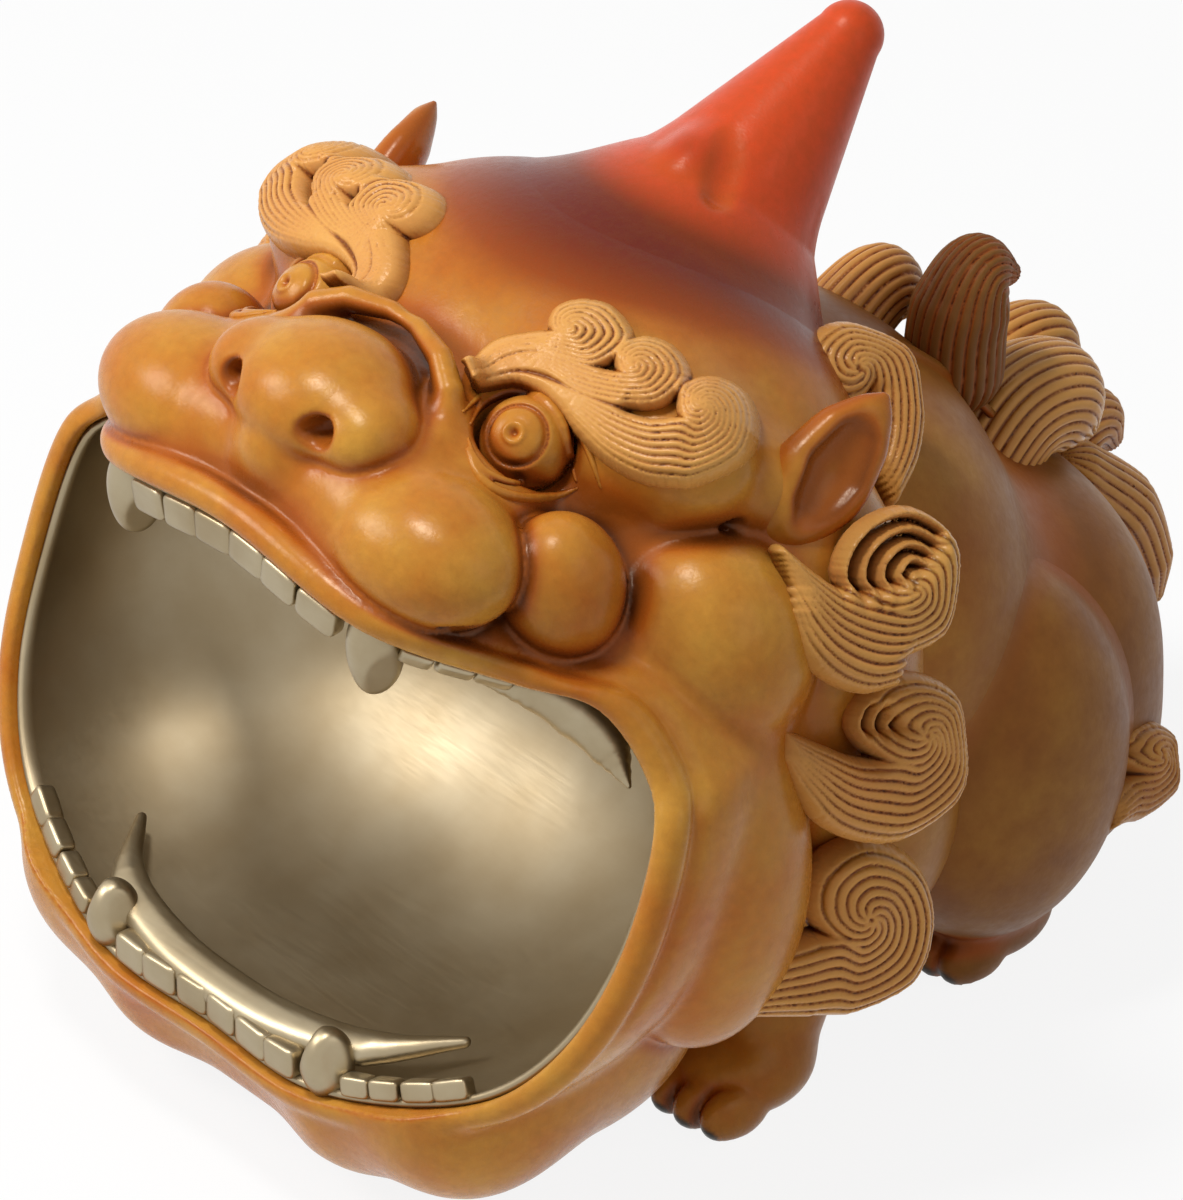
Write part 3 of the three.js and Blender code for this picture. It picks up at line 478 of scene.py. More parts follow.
def dress(shader, looks):
    for key, value in looks.items():
        feed(shader.inputs[key], value)


patinaAndShade = {
    "yellow": linear(205, 148, 58), "orange": linear(186, 102, 26), "brown": linear(106, 62, 22),
    "red": linear(208, 72, 31), "crown": linear(100, 18, 3), "hollow": linear(166, 78, 18),
    "grooveShade": linear(72, 31, 8), "ridge": linear(230, 172, 98), "claw": linear(30, 20, 15),
    "clouds": {"Cloud Size": 34.0, "Stipple Size": 420.0}, "roughness": (0.22, 0.32), "brownAndShadeRoughness": 0.18,
    "bump": {"Strength": 0.2, "Distance": 0.00015}, "sheen": (1.0, 0.86, 0.68, 1.0), "specular": 0.24,
}
# How far each mark has to go before its coat shows, and how much of the coat there is then. The hollow and
# groove coats are painted shade, the ridge coat is a painted highlight, and the brown coat is partly painted
# shade.
coatShares = {
    "brownAndShade": (0, 1, 0.6, 0.95), "crownEdge": (0, 0.55), "crown": (0.3, 1.0), "hollow": (0.04, 0.3, 0, 0.8),
    "deepHollowShade": (0.25, 0.8, 0, 0.9), "ridge": (0, 0.6, 0.6, 0), "brownAndShadeRidge": (0, 1, 1, 0.1),
    "stipple": 0.2, "grooveShade": 0.8,
}


def castPatina(name):
    material, add, shader, _ = newMaterial(name)
    place = add("ShaderNodeTexCoord").outputs["Object"]
    mark = {key: add("ShaderNodeAttribute", attribute_name=key).outputs["Fac"]
            for key in ("red", "crown", "brownAndShade", "cavityShade", "grooveShade", "hair", "claw")}
    cloud = add("ShaderNodeGroup", {"Position": place, **patinaAndShade["clouds"]}, node_tree=cloudGroup).outputs
    # Painted highlight: the tops of the hair strands are painted a lighter ochre
    ridgeHighlight = times(add, mark["hair"], span(add, mark["grooveShade"], *coatShares["ridge"]))
    coats = [
        (cloud["Clouds"], "orange"),
        # Browner towards the back and the bottom: partly brown patina, partly painted shade
        (times(add, mark["brownAndShade"], span(add, cloud["Clouds"], *coatShares["brownAndShade"])), "brown"),
        (span(add, mark["crown"], *coatShares["crownEdge"]), "hollow"),
        (span(add, mark["crown"], *coatShares["crown"]), "crown"),
        (mark["red"], "red"),
        (times(add, cloud["Stipple"], coatShares["stipple"]), "brown"),
        # Painted shade: hollows are painted orange and the deeper hollows dark brown
        (span(add, mark["cavityShade"], *coatShares["hollow"]), "hollow"),
        (span(add, mark["cavityShade"], *coatShares["deepHollowShade"]), "grooveShade"),
        # Painted highlight on the hair ridges, weaker where the lock is painted browner
        (times(add, ridgeHighlight, span(add, mark["brownAndShade"], *coatShares["brownAndShadeRidge"])), "ridge"),
        # Painted shade: the hair grooves are painted dark brown
        (times(add, mark["grooveShade"], coatShares["grooveShade"]), "grooveShade"),
        (mark["claw"], "claw"),
    ]
    colour = patinaAndShade["yellow"]
    for share, shade in coats:
        colour = mixColour(add, share, colour, patinaAndShade[shade])
    rough = span(add, cloud["Stipple"], 0, 1, *patinaAndShade["roughness"])
    brownAndShadeRough = times(add, mark["brownAndShade"], patinaAndShade["brownAndShadeRoughness"])
    bump = add("ShaderNodeBump", {"Height": cloud["Stipple"], **patinaAndShade["bump"]})
    dress(shader, {"Base Color": colour, "Roughness": times(add, rough, brownAndShadeRough, "ADD"),
                   "Normal": bump.outputs[0], "Specular IOR Level": patinaAndShade["specular"],
                   "Specular Tint": patinaAndShade["sheen"]})
    return material


# The lining's brass is painted darker than the teeth's, as painted shade for the dim reflections inside the
# mouth
mouthShadeChampagne = {"light": linear(163, 148, 121), "dark": linear(153, 136, 107), "roughness": (0.42, 0.46)}
toothMetal = {"light": linear(176, 162, 134), "dark": linear(160, 143, 113), "roughness": (0.36, 0.42)}
steel = {"light": linear(200, 200, 198), "dark": linear(150, 150, 150), "roughness": (0.3, 0.42)}
brushing = {"lines": {"Across": 1400.0, "Along": 90.0}, "blotchSpan": (0.35, 0.65), "lineSpan": (0.3, 0.7),
            "bump": {"Strength": 0.012, "Distance": 0.0001}}


def brightMetal(name, metal):
    material, add, shader, _ = newMaterial(name)
    place = add("ShaderNodeTexCoord").outputs["Object"]
    brush = add("ShaderNodeGroup", {"Position": place, **brushing["lines"]}, node_tree=brushGroup).outputs
    blotch = span(add, brush["Blotches"], *brushing["blotchSpan"])
    bump = add("ShaderNodeBump", {"Height": brush["Lines"], **brushing["bump"]})
    dress(shader, {"Base Color": mixColour(add, blotch, metal["light"], metal["dark"]),
                   "Roughness": span(add, brush["Lines"], *brushing["lineSpan"], *metal["roughness"]),
                   "Normal": bump.outputs[0], "Metallic": 1.0})
    return material


# Each finish goes with the slot that names its metal
ochreFinish = castPatina("ochrePatina"), "patina_ochre"
hornFinish = castPatina("hornPatina"), "patina_red"
liningFinish = brightMetal("mouthShadeChampagneBrass", mouthShadeChampagne), "champagne_brass"
toothFinish = brightMetal("toothBrass", toothMetal), "champagne_brass"
steelFinish = brightMetal("turnedSteel", steel), "steel"
print("finishes:", len(bpy.data.materials))


# Mouth outline and the bowl behind it
mouth = {
    "halfWidth": 89.6, "floor": 32.0, "roof": 145.0, "cornerDepth": 42.0, "axisHeight": 88.0,
    "wall": 2.0, "clearance": 0.1, "depth": 96.0, "belly": 8.0, "rimRound": 0.8,
    "lipReach": 5.6, "lipRadius": 3.9, "lipOut": 3.7, "lipBack": 1.0, "collarBack": 2.5,
    "outline": [(0, 0, 0), (0.364, 0, 0.007), (0.78, 0.267, 0.12), (0.9375, 0.488, 0.258), (1, 0.745, 0.44),
                (0.982, 0.99, 0.664), (0.915, 1.07, 0.721), (0.792, 1, 0.823), (0.647, 0.762, 0.851),
                (0.424, 0.25, 0.944), (0, 0.174, 1)],
    "steps": 720, "rings": 44, "points": 240,
}
halfLip = [(x * mouth["halfWidth"], y * mouth["cornerDepth"],
            mouth["floor"] + z * (mouth["roof"] - mouth["floor"])) for x, y, z in mouth["outline"]]
lipLine = smoothPath(halfLip + [(-x, y, z) for x, y, z in halfLip[-2:0:-1]], mouth["steps"], closed=True)
lipTurn = np.arctan2(lipLine[:, 2] - mouth["axisHeight"], lipLine[:, 0])
lipReach = np.hypot(lipLine[:, 0], lipLine[:, 2] - mouth["axisHeight"])
lipOrder = np.argsort(lipTurn)
bellySin, bellyCos = math.sin(math.radians(-mouth["belly"])), math.cos(math.radians(mouth["belly"]))


def lipAt(turn):
    reach = np.interp(turn, lipTurn[lipOrder], lipReach[lipOrder], period=2 * math.pi)
    depth = np.interp(turn, lipTurn[lipOrder], lipLine[lipOrder, 1], period=2 * math.pi)
    return reach, depth


def aroundMouth(p):
    rise = p[2] - mouth["axisHeight"]
    reach, depth = lipAt(np.arctan2(rise, p[0]))
    return np.sqrt(p[0] ** 2 + rise ** 2), reach, depth


def mouthSpace(p, outset, around):
    far, reach, depth = around
    full = mouth["depth"] + outset - depth
    share = (p[1] - depth) / full
    t = np.maximum(share * (1 - bellySin) + bellySin, bellySin)
    a = far * bellyCos / (reach + outset)
    f = np.maximum(np.sqrt(a ** 2 + t ** 2), 0.05)
    across = a * bellyCos / (reach + outset) / f
    back = np.where(share > 0, t * (1 - bellySin) / full / f, 0)
    return (f - 1) / np.maximum(np.sqrt(across ** 2 + back ** 2), 1e-3)


# Head: skull, face, jaw and the swellings of the face
headForms = {
    "skull": ((0, 92, 128), (72, 52, 55)), "face": ((0, 66, 95), (90, 47, 63)),
    "jaw": ((0, 43, 57), (78, 49, 57.5)), "jawSquare": 2.6, "jawCorner": ((54, 21, 33), (18.5, 19, 21)),
    "chinCorner": ((29, 20, 23), (15, 17, 17)), "chinDip": ((0, -25, 12), (44, 30, 22)),
    "browRidge": ((37, 78.5, 158.4), (32, 18, 16)), "upperCheek": ((64.1, 73.6, 123.3), (24, 22, 25)),
    "lowerCheek": ((77.5, 62.5, 78), (18, 24, 38)), "maneBase": ((60, 100, 100), (24, 28, 52)),
    "earBase": ((58, 90, 151), (11, 12, 9)), "bridge": ((0, 42, 151), (46, 30, 20)),
    "muzzle": ((34.2, 27.1, 150.4), (24, 17.5, 15)), "sideLobe": ((53.7, 46.1, 141.9), (13, 13, 16)),
    "nose": ((0, 31, 167), (20.5, 17.5, 13)), "noseWing": ((17.5, 28.5, 166.5), (9, 10.5, 8.5)),
    "septum": ((0, 20, 160), (9, 8, 8)), "nostril": ((12.8, 17.6, 169.6), (3.4, 6, 2.8)),
    "eyeSocket": ((32.8, 54.4, 162.3), (10.4, 10.4, 10.4)),
    "noseFold": [(0, 51.5, 175.5), (4, 51.5, 175.5), (14, 48.8, 174.5), (20.5, 45.6, 171.3),
                 (23.4, 42.5, 166.4), (26, 36.3, 164)],
    "foldRadii": (1.6, 2.0, 2.6, 2.9, 2.8, 2.0),
    "crease": [(44.1, 59.1, 151.4), (50.7, 63.9, 151.1), (56.7, 69.4, 149.4), (61.3, 75.9, 148.2),
               (67, 80, 149)],
    "creaseRadii": (0.5, 1.3, 1.5, 1.3, 0.5),
    "box": ((-104, -12, -2), (104, 150, 192)), "voxel": 0.85, "share": 0.35,
}
# How wide each form runs into what it stands on
headBlends = {
    "browRidge": 8, "face": 8, "chinCorner": 12, "jawCorner": 13, "chinDip": 6, "jaw": 6, "maneBase": 6,
    "earBase": 4, "bridge": 5, "collar": 4, "upperCheek": 2.0, "lowerCheek": 2.0, "eyeSocket": 3,
    "sideLobe": 1.4, "muzzle": 9, "muzzleLoss": 7.6, "muzzleSpan": (16, 38), "noseFold": 4, "noseWing": 4,
    "septum": 5, "nose": 1.4, "nostril": 2.2, "crease": 2.5, "trench": 2.5, "lip": 1.5, "mouth": 1.2,
}
# The furrow between the lip and the cheek
trench = {"out": 9.4, "back": 4.6, "radius": 3.2, "across": (44, 66), "up": (52, 75),
          "least": 0.02, "clear": 9.0}


def headField(p):
    form, blend = headForms, headBlends
    side = [np.abs(p[0]), p[1], p[2]]

    def swell(d, *names):
        for name in names:
            d = melt(d, ball(side, *form[name]), blend[name])
        return d

    def dent(d, name):
        return carve(d, ball(side, *form[name]), blend[name])

    d = swell(ball(side, *form["skull"]), "browRidge", "face")
    jaw = swell(squareBall(side, *form["jaw"], form["jawSquare"]), "chinCorner", "jawCorner")
    d = melt(d, dent(jaw, "chinDip"), blend["jaw"])
    d = swell(d, "maneBase", "earBase", "bridge")
    around = aroundMouth(p)
    collar = np.maximum(mouthSpace(p, mouth["lipReach"], around), around[2] + mouth["collarBack"] - p[1])
    d = swell(melt(d, collar, blend["collar"]), "upperCheek", "lowerCheek")
    d = swell(dent(d, "eyeSocket"), "sideLobe")
    # In the middle the lobes run into the lip, outside they stand free
    inner = ease(side[0], *blend["muzzleSpan"])
    d = melt(d, ball(side, *form["muzzle"]), blend["muzzle"] - blend["muzzleLoss"] * inner)
    d = melt(d, rope(side, form["noseFold"], form["foldRadii"]), blend["noseFold"])
    nose = swell(ball(side, *form["nose"]), "noseWing")
    d = dent(melt(swell(d, "septum"), nose, blend["nose"]), "nostril")
    d = carve(d, rope(side, form["crease"], form["creaseRadii"]), blend["crease"])
    reach, depth = around[0] - around[1], p[1] - around[2]
    flank = ease(side[0], *trench["across"]) * ease(p[2], *trench["up"])
    furrow = np.sqrt((reach - trench["out"]) ** 2 + (depth - trench["back"]) ** 2) - trench["radius"] * flank
    d = carve(d, np.where(flank > trench["least"], furrow, trench["clear"]), blend["trench"])
    lip = np.sqrt((reach - mouth["lipOut"]) ** 2 + (depth - mouth["lipBack"]) ** 2) - mouth["lipRadius"]
    d = melt(d, lip, blend["lip"])
    d = carve(d, mouthSpace(p, mouth["wall"] + mouth["clearance"], around), blend["mouth"])
    return onTable(d, p)


carvedPiece("headCasting", "head_shell", ochreFinish, headField, headForms["box"], headForms["voxel"],
            share=headForms["share"], crowned=1)


# Mouth lining: rings from the back to the rim inside, and from the rim to the back outside
def liningMesh(name):
    n = mouth["points"]
    turns = np.linspace(-math.pi, math.pi, n, endpoint=False)
    reach, depth = lipAt(turns)
    rings = []
    swings = np.linspace(math.radians(-mouth["belly"]), math.pi / 2, mouth["rings"])[:-1]
    for outset, order in ((0.0, swings[::-1]), (mouth["wall"], swings)):
        for swing in order:
            width = math.cos(swing) / bellyCos
            deep = (math.sin(swing) - bellySin) / (1 - bellySin)
            far = (reach + outset) * width
            rings.append(np.stack([np.cos(turns) * far, depth + (mouth["depth"] + outset - depth) * deep,
                                   mouth["axisHeight"] + np.sin(turns) * far], 1))
    middle = len(swings)
    rings.insert(middle, (rings[middle - 1] + rings[middle]) / 2 - np.array([0, mouth["rimRound"], 0]))
    ends = [[0, mouth["depth"] + wall, mouth["axisHeight"]] for wall in (0, mouth["wall"])]
    verts = np.concatenate(rings + [np.array(ends)])
    a = np.arange(n)
    b = (a + 1) % n
    last, inEnd, outEnd = (len(rings) - 1) * n, len(rings) * n, len(rings) * n + 1
    bands = [np.stack([r + a, r + b, r + n + b, r + n + a], 1) for r in range(0, last, n)]
    caps = [np.stack([np.full(n, inEnd), b, a], 1), np.stack([np.full(n, outEnd), last + a, last + b], 1)]
    mesh = bpy.data.meshes.new(name)
    mesh.from_pydata(toFrame(verts).tolist(), [], [face for part in bands + caps for face in part.tolist()])
    mesh.update()
    mesh.shade_smooth()
    return mesh


newPiece("mouthLining", "mouth_bowl", liningFinish, liningMesh("mouthLining"))
print("head and lining done")


# Teeth: rounded lumps set in rows by one tree
def lumpRowTree():
    tree, add, given, made = newGroup(
        "lumpRow", "GeometryNodeTree",
        {"Places": "NodeSocketGeometry", "Squareness": "NodeSocketFloat", "Detail": "NodeSocketInt",
         "Finish": "NodeSocketMaterial"}, {"Row": "NodeSocketGeometry"})
    cube = add("GeometryNodeMeshCube", {"Size": (2, 2, 2)})
    fine = add("GeometryNodeSubdivideMesh", {"Mesh": cube.outputs[0], "Level": given["Detail"]})
    place = add("GeometryNodeInputPosition").outputs[0]
    parts = add("ShaderNodeSeparateXYZ", {0: place}).outputs
    sizes = [times(add, parts[i], 0.0, "ABSOLUTE") for i in range(3)]
    powers = [times(add, size, given["Squareness"], "POWER") for size in sizes]
    total = times(add, times(add, powers[0], powers[1], "ADD"), powers[2], "ADD")
    size = times(add, total, times(add, 1.0, given["Squareness"], "DIVIDE"), "POWER")
    rounded = add("ShaderNodeVectorMath", {0: place, 3: times(add, 1.0, size, "DIVIDE")}, operation="SCALE")
    lump = add("GeometryNodeSetPosition", {"Geometry": fine.outputs[0], "Position": rounded.outputs[0]})

    def named(label):
        return add("GeometryNodeInputNamedAttribute", {"Name": label}, data_type="FLOAT_VECTOR").outputs[0]

    first = add("FunctionNodeAlignRotationToVector", {"Vector": named("along")}, axis="X")
    turned = add("FunctionNodeAlignRotationToVector",
                 {"Rotation": first.outputs[0], "Vector": named("inward")}, axis="Y", pivot_axis="X")
    points = add("GeometryNodeMeshToPoints", {"Mesh": given["Places"]})
    copies = add("GeometryNodeInstanceOnPoints", {
        "Points": points.outputs[0], "Instance": lump.outputs[0], "Rotation": turned.outputs[0],
        "Scale": named("size")})
    real = add("GeometryNodeRealizeInstances", {0: copies.outputs[0]})
    smooth = add("GeometryNodeSetShadeSmooth", {0: real.outputs[0]})
    finish = add("GeometryNodeSetMaterial", {"Geometry": smooth.outputs[0], "Material": given["Finish"]})
    feed(made["Row"], finish.outputs[0])
    return tree


rowTree = lumpRowTree()


def lumpRow(name, spots, wanted):
    mesh = bpy.data.meshes.new(name + "Places")
    mesh.from_pydata([tuple(v) for v in toFrame([s["at"] for s in spots])], [], [])
    for key in ("along", "inward", "size"):
        mark = mesh.attributes.new(key, "FLOAT_VECTOR", "POINT")
        values = np.array([s[key] for s in spots]) * (0.001 if key == "size" else 1.0)
        mark.data.foreach_set("vector", values.astype(np.float32).ravel())
    places = newObject(name + "Places", mesh)
    modifier = places.modifiers.new("row", "NODES")
    modifier.node_group = rowTree
    for item in rowTree.interface.items_tree:
        if item.in_out == "INPUT" and item.name in wanted:
            modifier[item.identifier] = wanted[item.name]
    places.update_tag()
    bpy.context.view_layer.update()
    graph = bpy.context.evaluated_depsgraph_get()
    made = bpy.data.meshes.new_from_object(places.evaluated_get(graph))
    made.name = name
    bpy.data.objects.remove(places)
    return made


# A fang is given by its place across, its height and its radius
teeth = {"gap": 0.15, "setBack": -1.6, "depth": 4.4, "root": 0.6, "squareness": 6.0, "detail": 3}
jaws = {
    "lower": {"upper": False, "height": 6.2, "fang": (34.0, 10.5, 5.6), "front": 6, "side": 4,
              "sideRun": 29.0, "sideHeight": 0.62, "fangRise": 0.42},
    "upper": {"upper": True, "height": 6.4, "fang": (37.5, 14.0, 5.9), "front": 6, "side": 3,
              "sideRun": 14, "sideHeight": 0.6, "fangRise": 0.36},
}


def lipSpot(across, upper):
    half = lipLine[:len(lipLine) // 2 + 1]
    widest = half[np.argmax(half[:, 0]), 2]
    pick = half[(half[:, 2] > widest) == upper]
    k = int(np.argmin(np.abs(pick[:, 0] - abs(across))))
    at = pick[k].copy()
    along = unit(pick[min(k + 1, len(pick) - 1)] - pick[max(k - 1, 0)])
    if across < 0:
        at[0] *= -1
        along = np.array([along[0], -along[1], -along[2]])
    inward = -unit((at[0], 0, at[2] - mouth["axisHeight"]))
    return at, along, inward


def toothRow(fromAcross, toAcross, count, upper, height):
    spots = []
    pitch = (toAcross - fromAcross) / count
    for i in range(count):
        at, along, inward = lipSpot(fromAcross + (i + 0.5) * pitch, upper)
        back = np.cross(inward, along)
        back = unit(-back if back[1] < 0 else back)
        inward = np.cross(along, back)
        if inward @ (at - (0, at[1], mouth["axisHeight"])) > 0:
            inward = -inward
        left = lipSpot(fromAcross + i * pitch, upper)[0]
        right = lipSpot(fromAcross + (i + 1) * pitch, upper)[0]
        width = np.linalg.norm(right - left) - teeth["gap"]
        middle = at + inward * (height - teeth["root"]) / 2 + back * (teeth["setBack"] + teeth["depth"] / 2)
        spots.append({"at": middle, "along": along, "inward": inward,
                      "size": (width / 2, (height + teeth["root"]) / 2, teeth["depth"] / 2)})
    return spots


def toothPiece(name, node, *run):
    wanted = {"Squareness": teeth["squareness"], "Detail": teeth["detail"], "Finish": toothFinish[0]}
    newPiece(name, node, toothFinish, lumpRow(name, toothRow(*run), wanted))


for word, jaw in jaws.items():
    edge = jaw["fang"][0] - jaw["fang"][2]
    toothPiece(word + "FrontTeeth", word + "_front_teeth", -edge, edge, jaw["front"], jaw["upper"],
               jaw["height"])
for side, way in (("left", 1), ("right", -1)):
    for word, jaw in jaws.items():
        start = jaw["fang"][0] + jaw["fang"][2]
        toothPiece(word + "SideTeeth." + side, word + "_side_teeth_" + side, way * start,
                   way * (start + jaw["sideRun"]), jaw["side"], jaw["upper"],
                   jaw["sideHeight"] * jaw["height"])

# Fangs: egg shapes with a face in front and one to each side
fang = {"back": 0.45, "tall": 0.75, "facing": (0.86, 0.36, 0.3), "face": 0.8, "edge": 0.8, "margin": 3,
        "voxel": 0.4}


def fangField(jaw, middle):
    _, height, radius = jaw["fang"]
    way = -1 if jaw["upper"] else 1

    def field(p):
        d = ball(p, middle, (radius, radius, height * fang["tall"]))
        out, ahead, up = fang["facing"]
        flanks = np.abs(p[0] - middle[0]) * out - (p[1] - middle[1]) * ahead + way * (p[2] - middle[2]) * up
        return carve(d, radius * fang["face"] - flanks, fang["edge"])
    return field


for word, jaw in jaws.items():
    across, height, radius = jaw["fang"]
    rise = (-1 if jaw["upper"] else 1) * height * jaw["fangRise"]
    middle = lipSpot(across, jaw["upper"])[0] + (0, radius * fang["back"], rise)
    low = middle - (0, 0, height) - radius - fang["margin"]
    high = middle + (0, 0, height) + radius + fang["margin"]
    carvedPair(word + "Fang", word + "_fang_%s", toothFinish, fangField(jaw, middle), (low, high),
               fang["voxel"])

# Tusks: they taper along the upper lip towards the corners of the mouth
tusk = {"run": ((0.62, 5), (0.74, 9.5), (0.86, 11), (0.955, 9)), "radii": (1.6, 4.4, 5.6, 4.4, 0.6),
        "back": 0.6, "steps": 12, "margin": 8, "voxel": 0.5}
tuskPath = []
for share, push in tusk["run"]:
    spot, _, inward = lipSpot(share * mouth["halfWidth"], True)
    tuskPath.append(spot + inward * push + (0, tusk["back"], 0))
tuskPath = smoothPath(tuskPath, tusk["steps"])
tuskRadii = tapered(tusk["radii"], tusk["steps"])
carvedPair("tusk", "tusk_%s", toothFinish, lambda p: rope(p, tuskPath, tuskRadii),
           boxRound(tuskPath, tusk["margin"]), tusk["voxel"])

# Gum: a ledge behind the lower front teeth with a raised edge
gum = {"run": [(-51, 24, 42), (-38, 11.5, 40), (-18, 6, 38), (0, 5, 37.5), (18, 6, 38), (38, 11.5, 40),
               (51, 24, 42)],
       "radii": (0.4, 2.4, 2.6, 2.6, 2.6, 2.4, 0.4), "edge": (0.2, 0.8, 0.9, 1.0, 0.9, 0.8, 0.2),
       "edgeShift": (0, 1.6, 1.4), "frontShift": (0, -3.6, -1.0), "steps": 24, "blend": 3.0, "edgeBlend": 1.0,
       "margin": 8, "voxel": 0.6}
gumPath = smoothPath(gum["run"], gum["steps"])
gumRadii, edgeRadii = (tapered(gum[key], gum["steps"]) for key in ("radii", "edge"))
edgePath, frontPath = (gumPath + np.outer(gumRadii / max(gumRadii), gum[key])
                       for key in ("edgeShift", "frontShift"))


def gumField(p):
    ledge = melt(rope(p, gumPath, gumRadii), rope(p, frontPath, gumRadii), gum["blend"])
    return melt(ledge, rope(p, edgePath, edgeRadii), gum["edgeBlend"])


carvedPiece("lowerGum", "lower_gum", toothFinish, gumField, boxRound(gumPath, gum["margin"]), gum["voxel"])
print("teeth done")


# Eyes: ball with ring and pupil cut in, a raised bead round the pupil, and the lids that fold round it
eye = {
    "at": np.array((32.2, 55.5, 161.0)), "gaze": unit((0.333, -0.632, 0.70)), "radius": 9.4,
    "ring": (0.7, 5.9, 0.55), "pupil": (1.2, 0, 0.9), "bead": (-0.3, 2.0, 0.5),
    "lidSteps": 20, "lidBlend": 0.8, "margin": 21, "voxel": 0.42,
    "lids": [
        ([(-11, 3.7), (-9.3, 6.8), (-6.2, 9.2), (-2.8, 10.2), (1, 9.5), (4.8, 7.1), (7.2, 3), (8.6, -2.6),
          (9.7, -7.4)], (0.4, 1.1, 1.2, 1.1, 0.4)),
        ([(-12.4, 6.1), (-8.6, 9.5), (-4.5, 11.9), (-0.3, 12.6), (3.8, 10.9), (7.6, 7.4), (10.7, 2.3),
          (12.8, -3.2), (14.5, -8.8)], (0.4, 1.0, 1.2, 1.2, 0.3)),
        ([(-11.4, 0.9), (-10.3, -2.6), (-7.9, -5.7), (-4.5, -7.4), (-1, -8.1), (3.1, -8.4)],
         (0.3, 0.8, 0.9, 0.7, 0.2)),
        ([(-11.7, -1.2), (-10, -5.3), (-7.2, -8.4), (-3.8, -10.1), (1, -10.8), (6.6, -10.1), (10, -8.8)],
         (0.3, 1.0, 1.1, 1.0, 0.3)),
    ],
}


def eyeBall(p):
    return farFrom(p, eye["at"]) - eye["radius"]


def eyeSkin(p):
    return np.minimum(eyeBall(p), headField(p))


eyeLids = [(laidOn(eyeSkin, eye["at"], smoothPath(drawn, eye["lidSteps"])), tapered(sizes, eye["lidSteps"]))
           for drawn, sizes in eye["lids"]]


def eyeField(p):
    q = [p[i] - eye["at"][i] for i in range(3)]
    s = sum(q[i] * eye["gaze"][i] for i in range(3))
    r = np.sqrt(np.maximum(q[0] ** 2 + q[1] ** 2 + q[2] ** 2 - s ** 2, 0))
    d = eyeBall(p)
    for key in ("ring", "pupil", "bead"):
        deep, radius, width = eye[key]
        d += deep * np.exp(-((r - radius) / width) ** 2) * (s > 0)
    for spots, sizes in eyeLids:
        d = melt(d, rope(p, spots, sizes), eye["lidBlend"])
    return d


carvedPair("eye", "eye_%s", ochreFinish, eyeField, boxRound([eye["at"]], eye["margin"]), eye["voxel"])


# Hair: each lock is a bundle of strands that winds into the eye of its curl, raised as one rounded relief
hair = {"depth": 1.0, "voxel": 0.42, "step": 0.25, "margin": 1.3, "under": 9.0, "quarters": 5.2, "tuck": 0.45,
        "border": 4, "fullGap": 1.6, "steps": 60, "straySteps": 24, "coilStep": 0.5, "coilEnd": 0.1,
        "grooveShade": (0.1, 0.8), "roomAbove": 6, "roomBelow": 4, "roomAside": 3}


def strandsOf(lock):
    eye, count, quarters = np.array(lock["eye"], np.float64), lock["count"], hair["quarters"]
    shape = [lock["rim"][i % 4] / (1 - (i % 4) / quarters) for i in range(5)]
    strands = [eye + smoothPath(points, hair["straySteps"]) for points in lock.get("strays", [])]
    for k in range(count):  # every strand winds in alike, each a share of a turn ahead of the one outside it
        ahead = 4 * k / count
        sweep = np.arange(0, quarters - hair["coilEnd"] - ahead, hair["coilStep"])
        turn = math.radians(lock["start"]) + sweep * math.pi / 2
        reach = np.interp(sweep % 4, np.arange(5), shape) * (1 - (sweep + ahead) / quarters)
        share = 1 - (k + 0.5) / count
        tail = [np.array(a) + share * (np.array(b) - a) for a, b in zip(lock["inner"], lock["outer"])]
        coil = [reach[i] * np.array([math.cos(turn[i]), math.sin(turn[i])]) for i in range(len(turn))]
        strands.append(eye + smoothPath(tail + coil, hair["steps"]))
    return strands


def raisedSpot(lock, place, x, y):
    return drawnIn(place, x, y, np.interp(x, *lock["lifts"]))


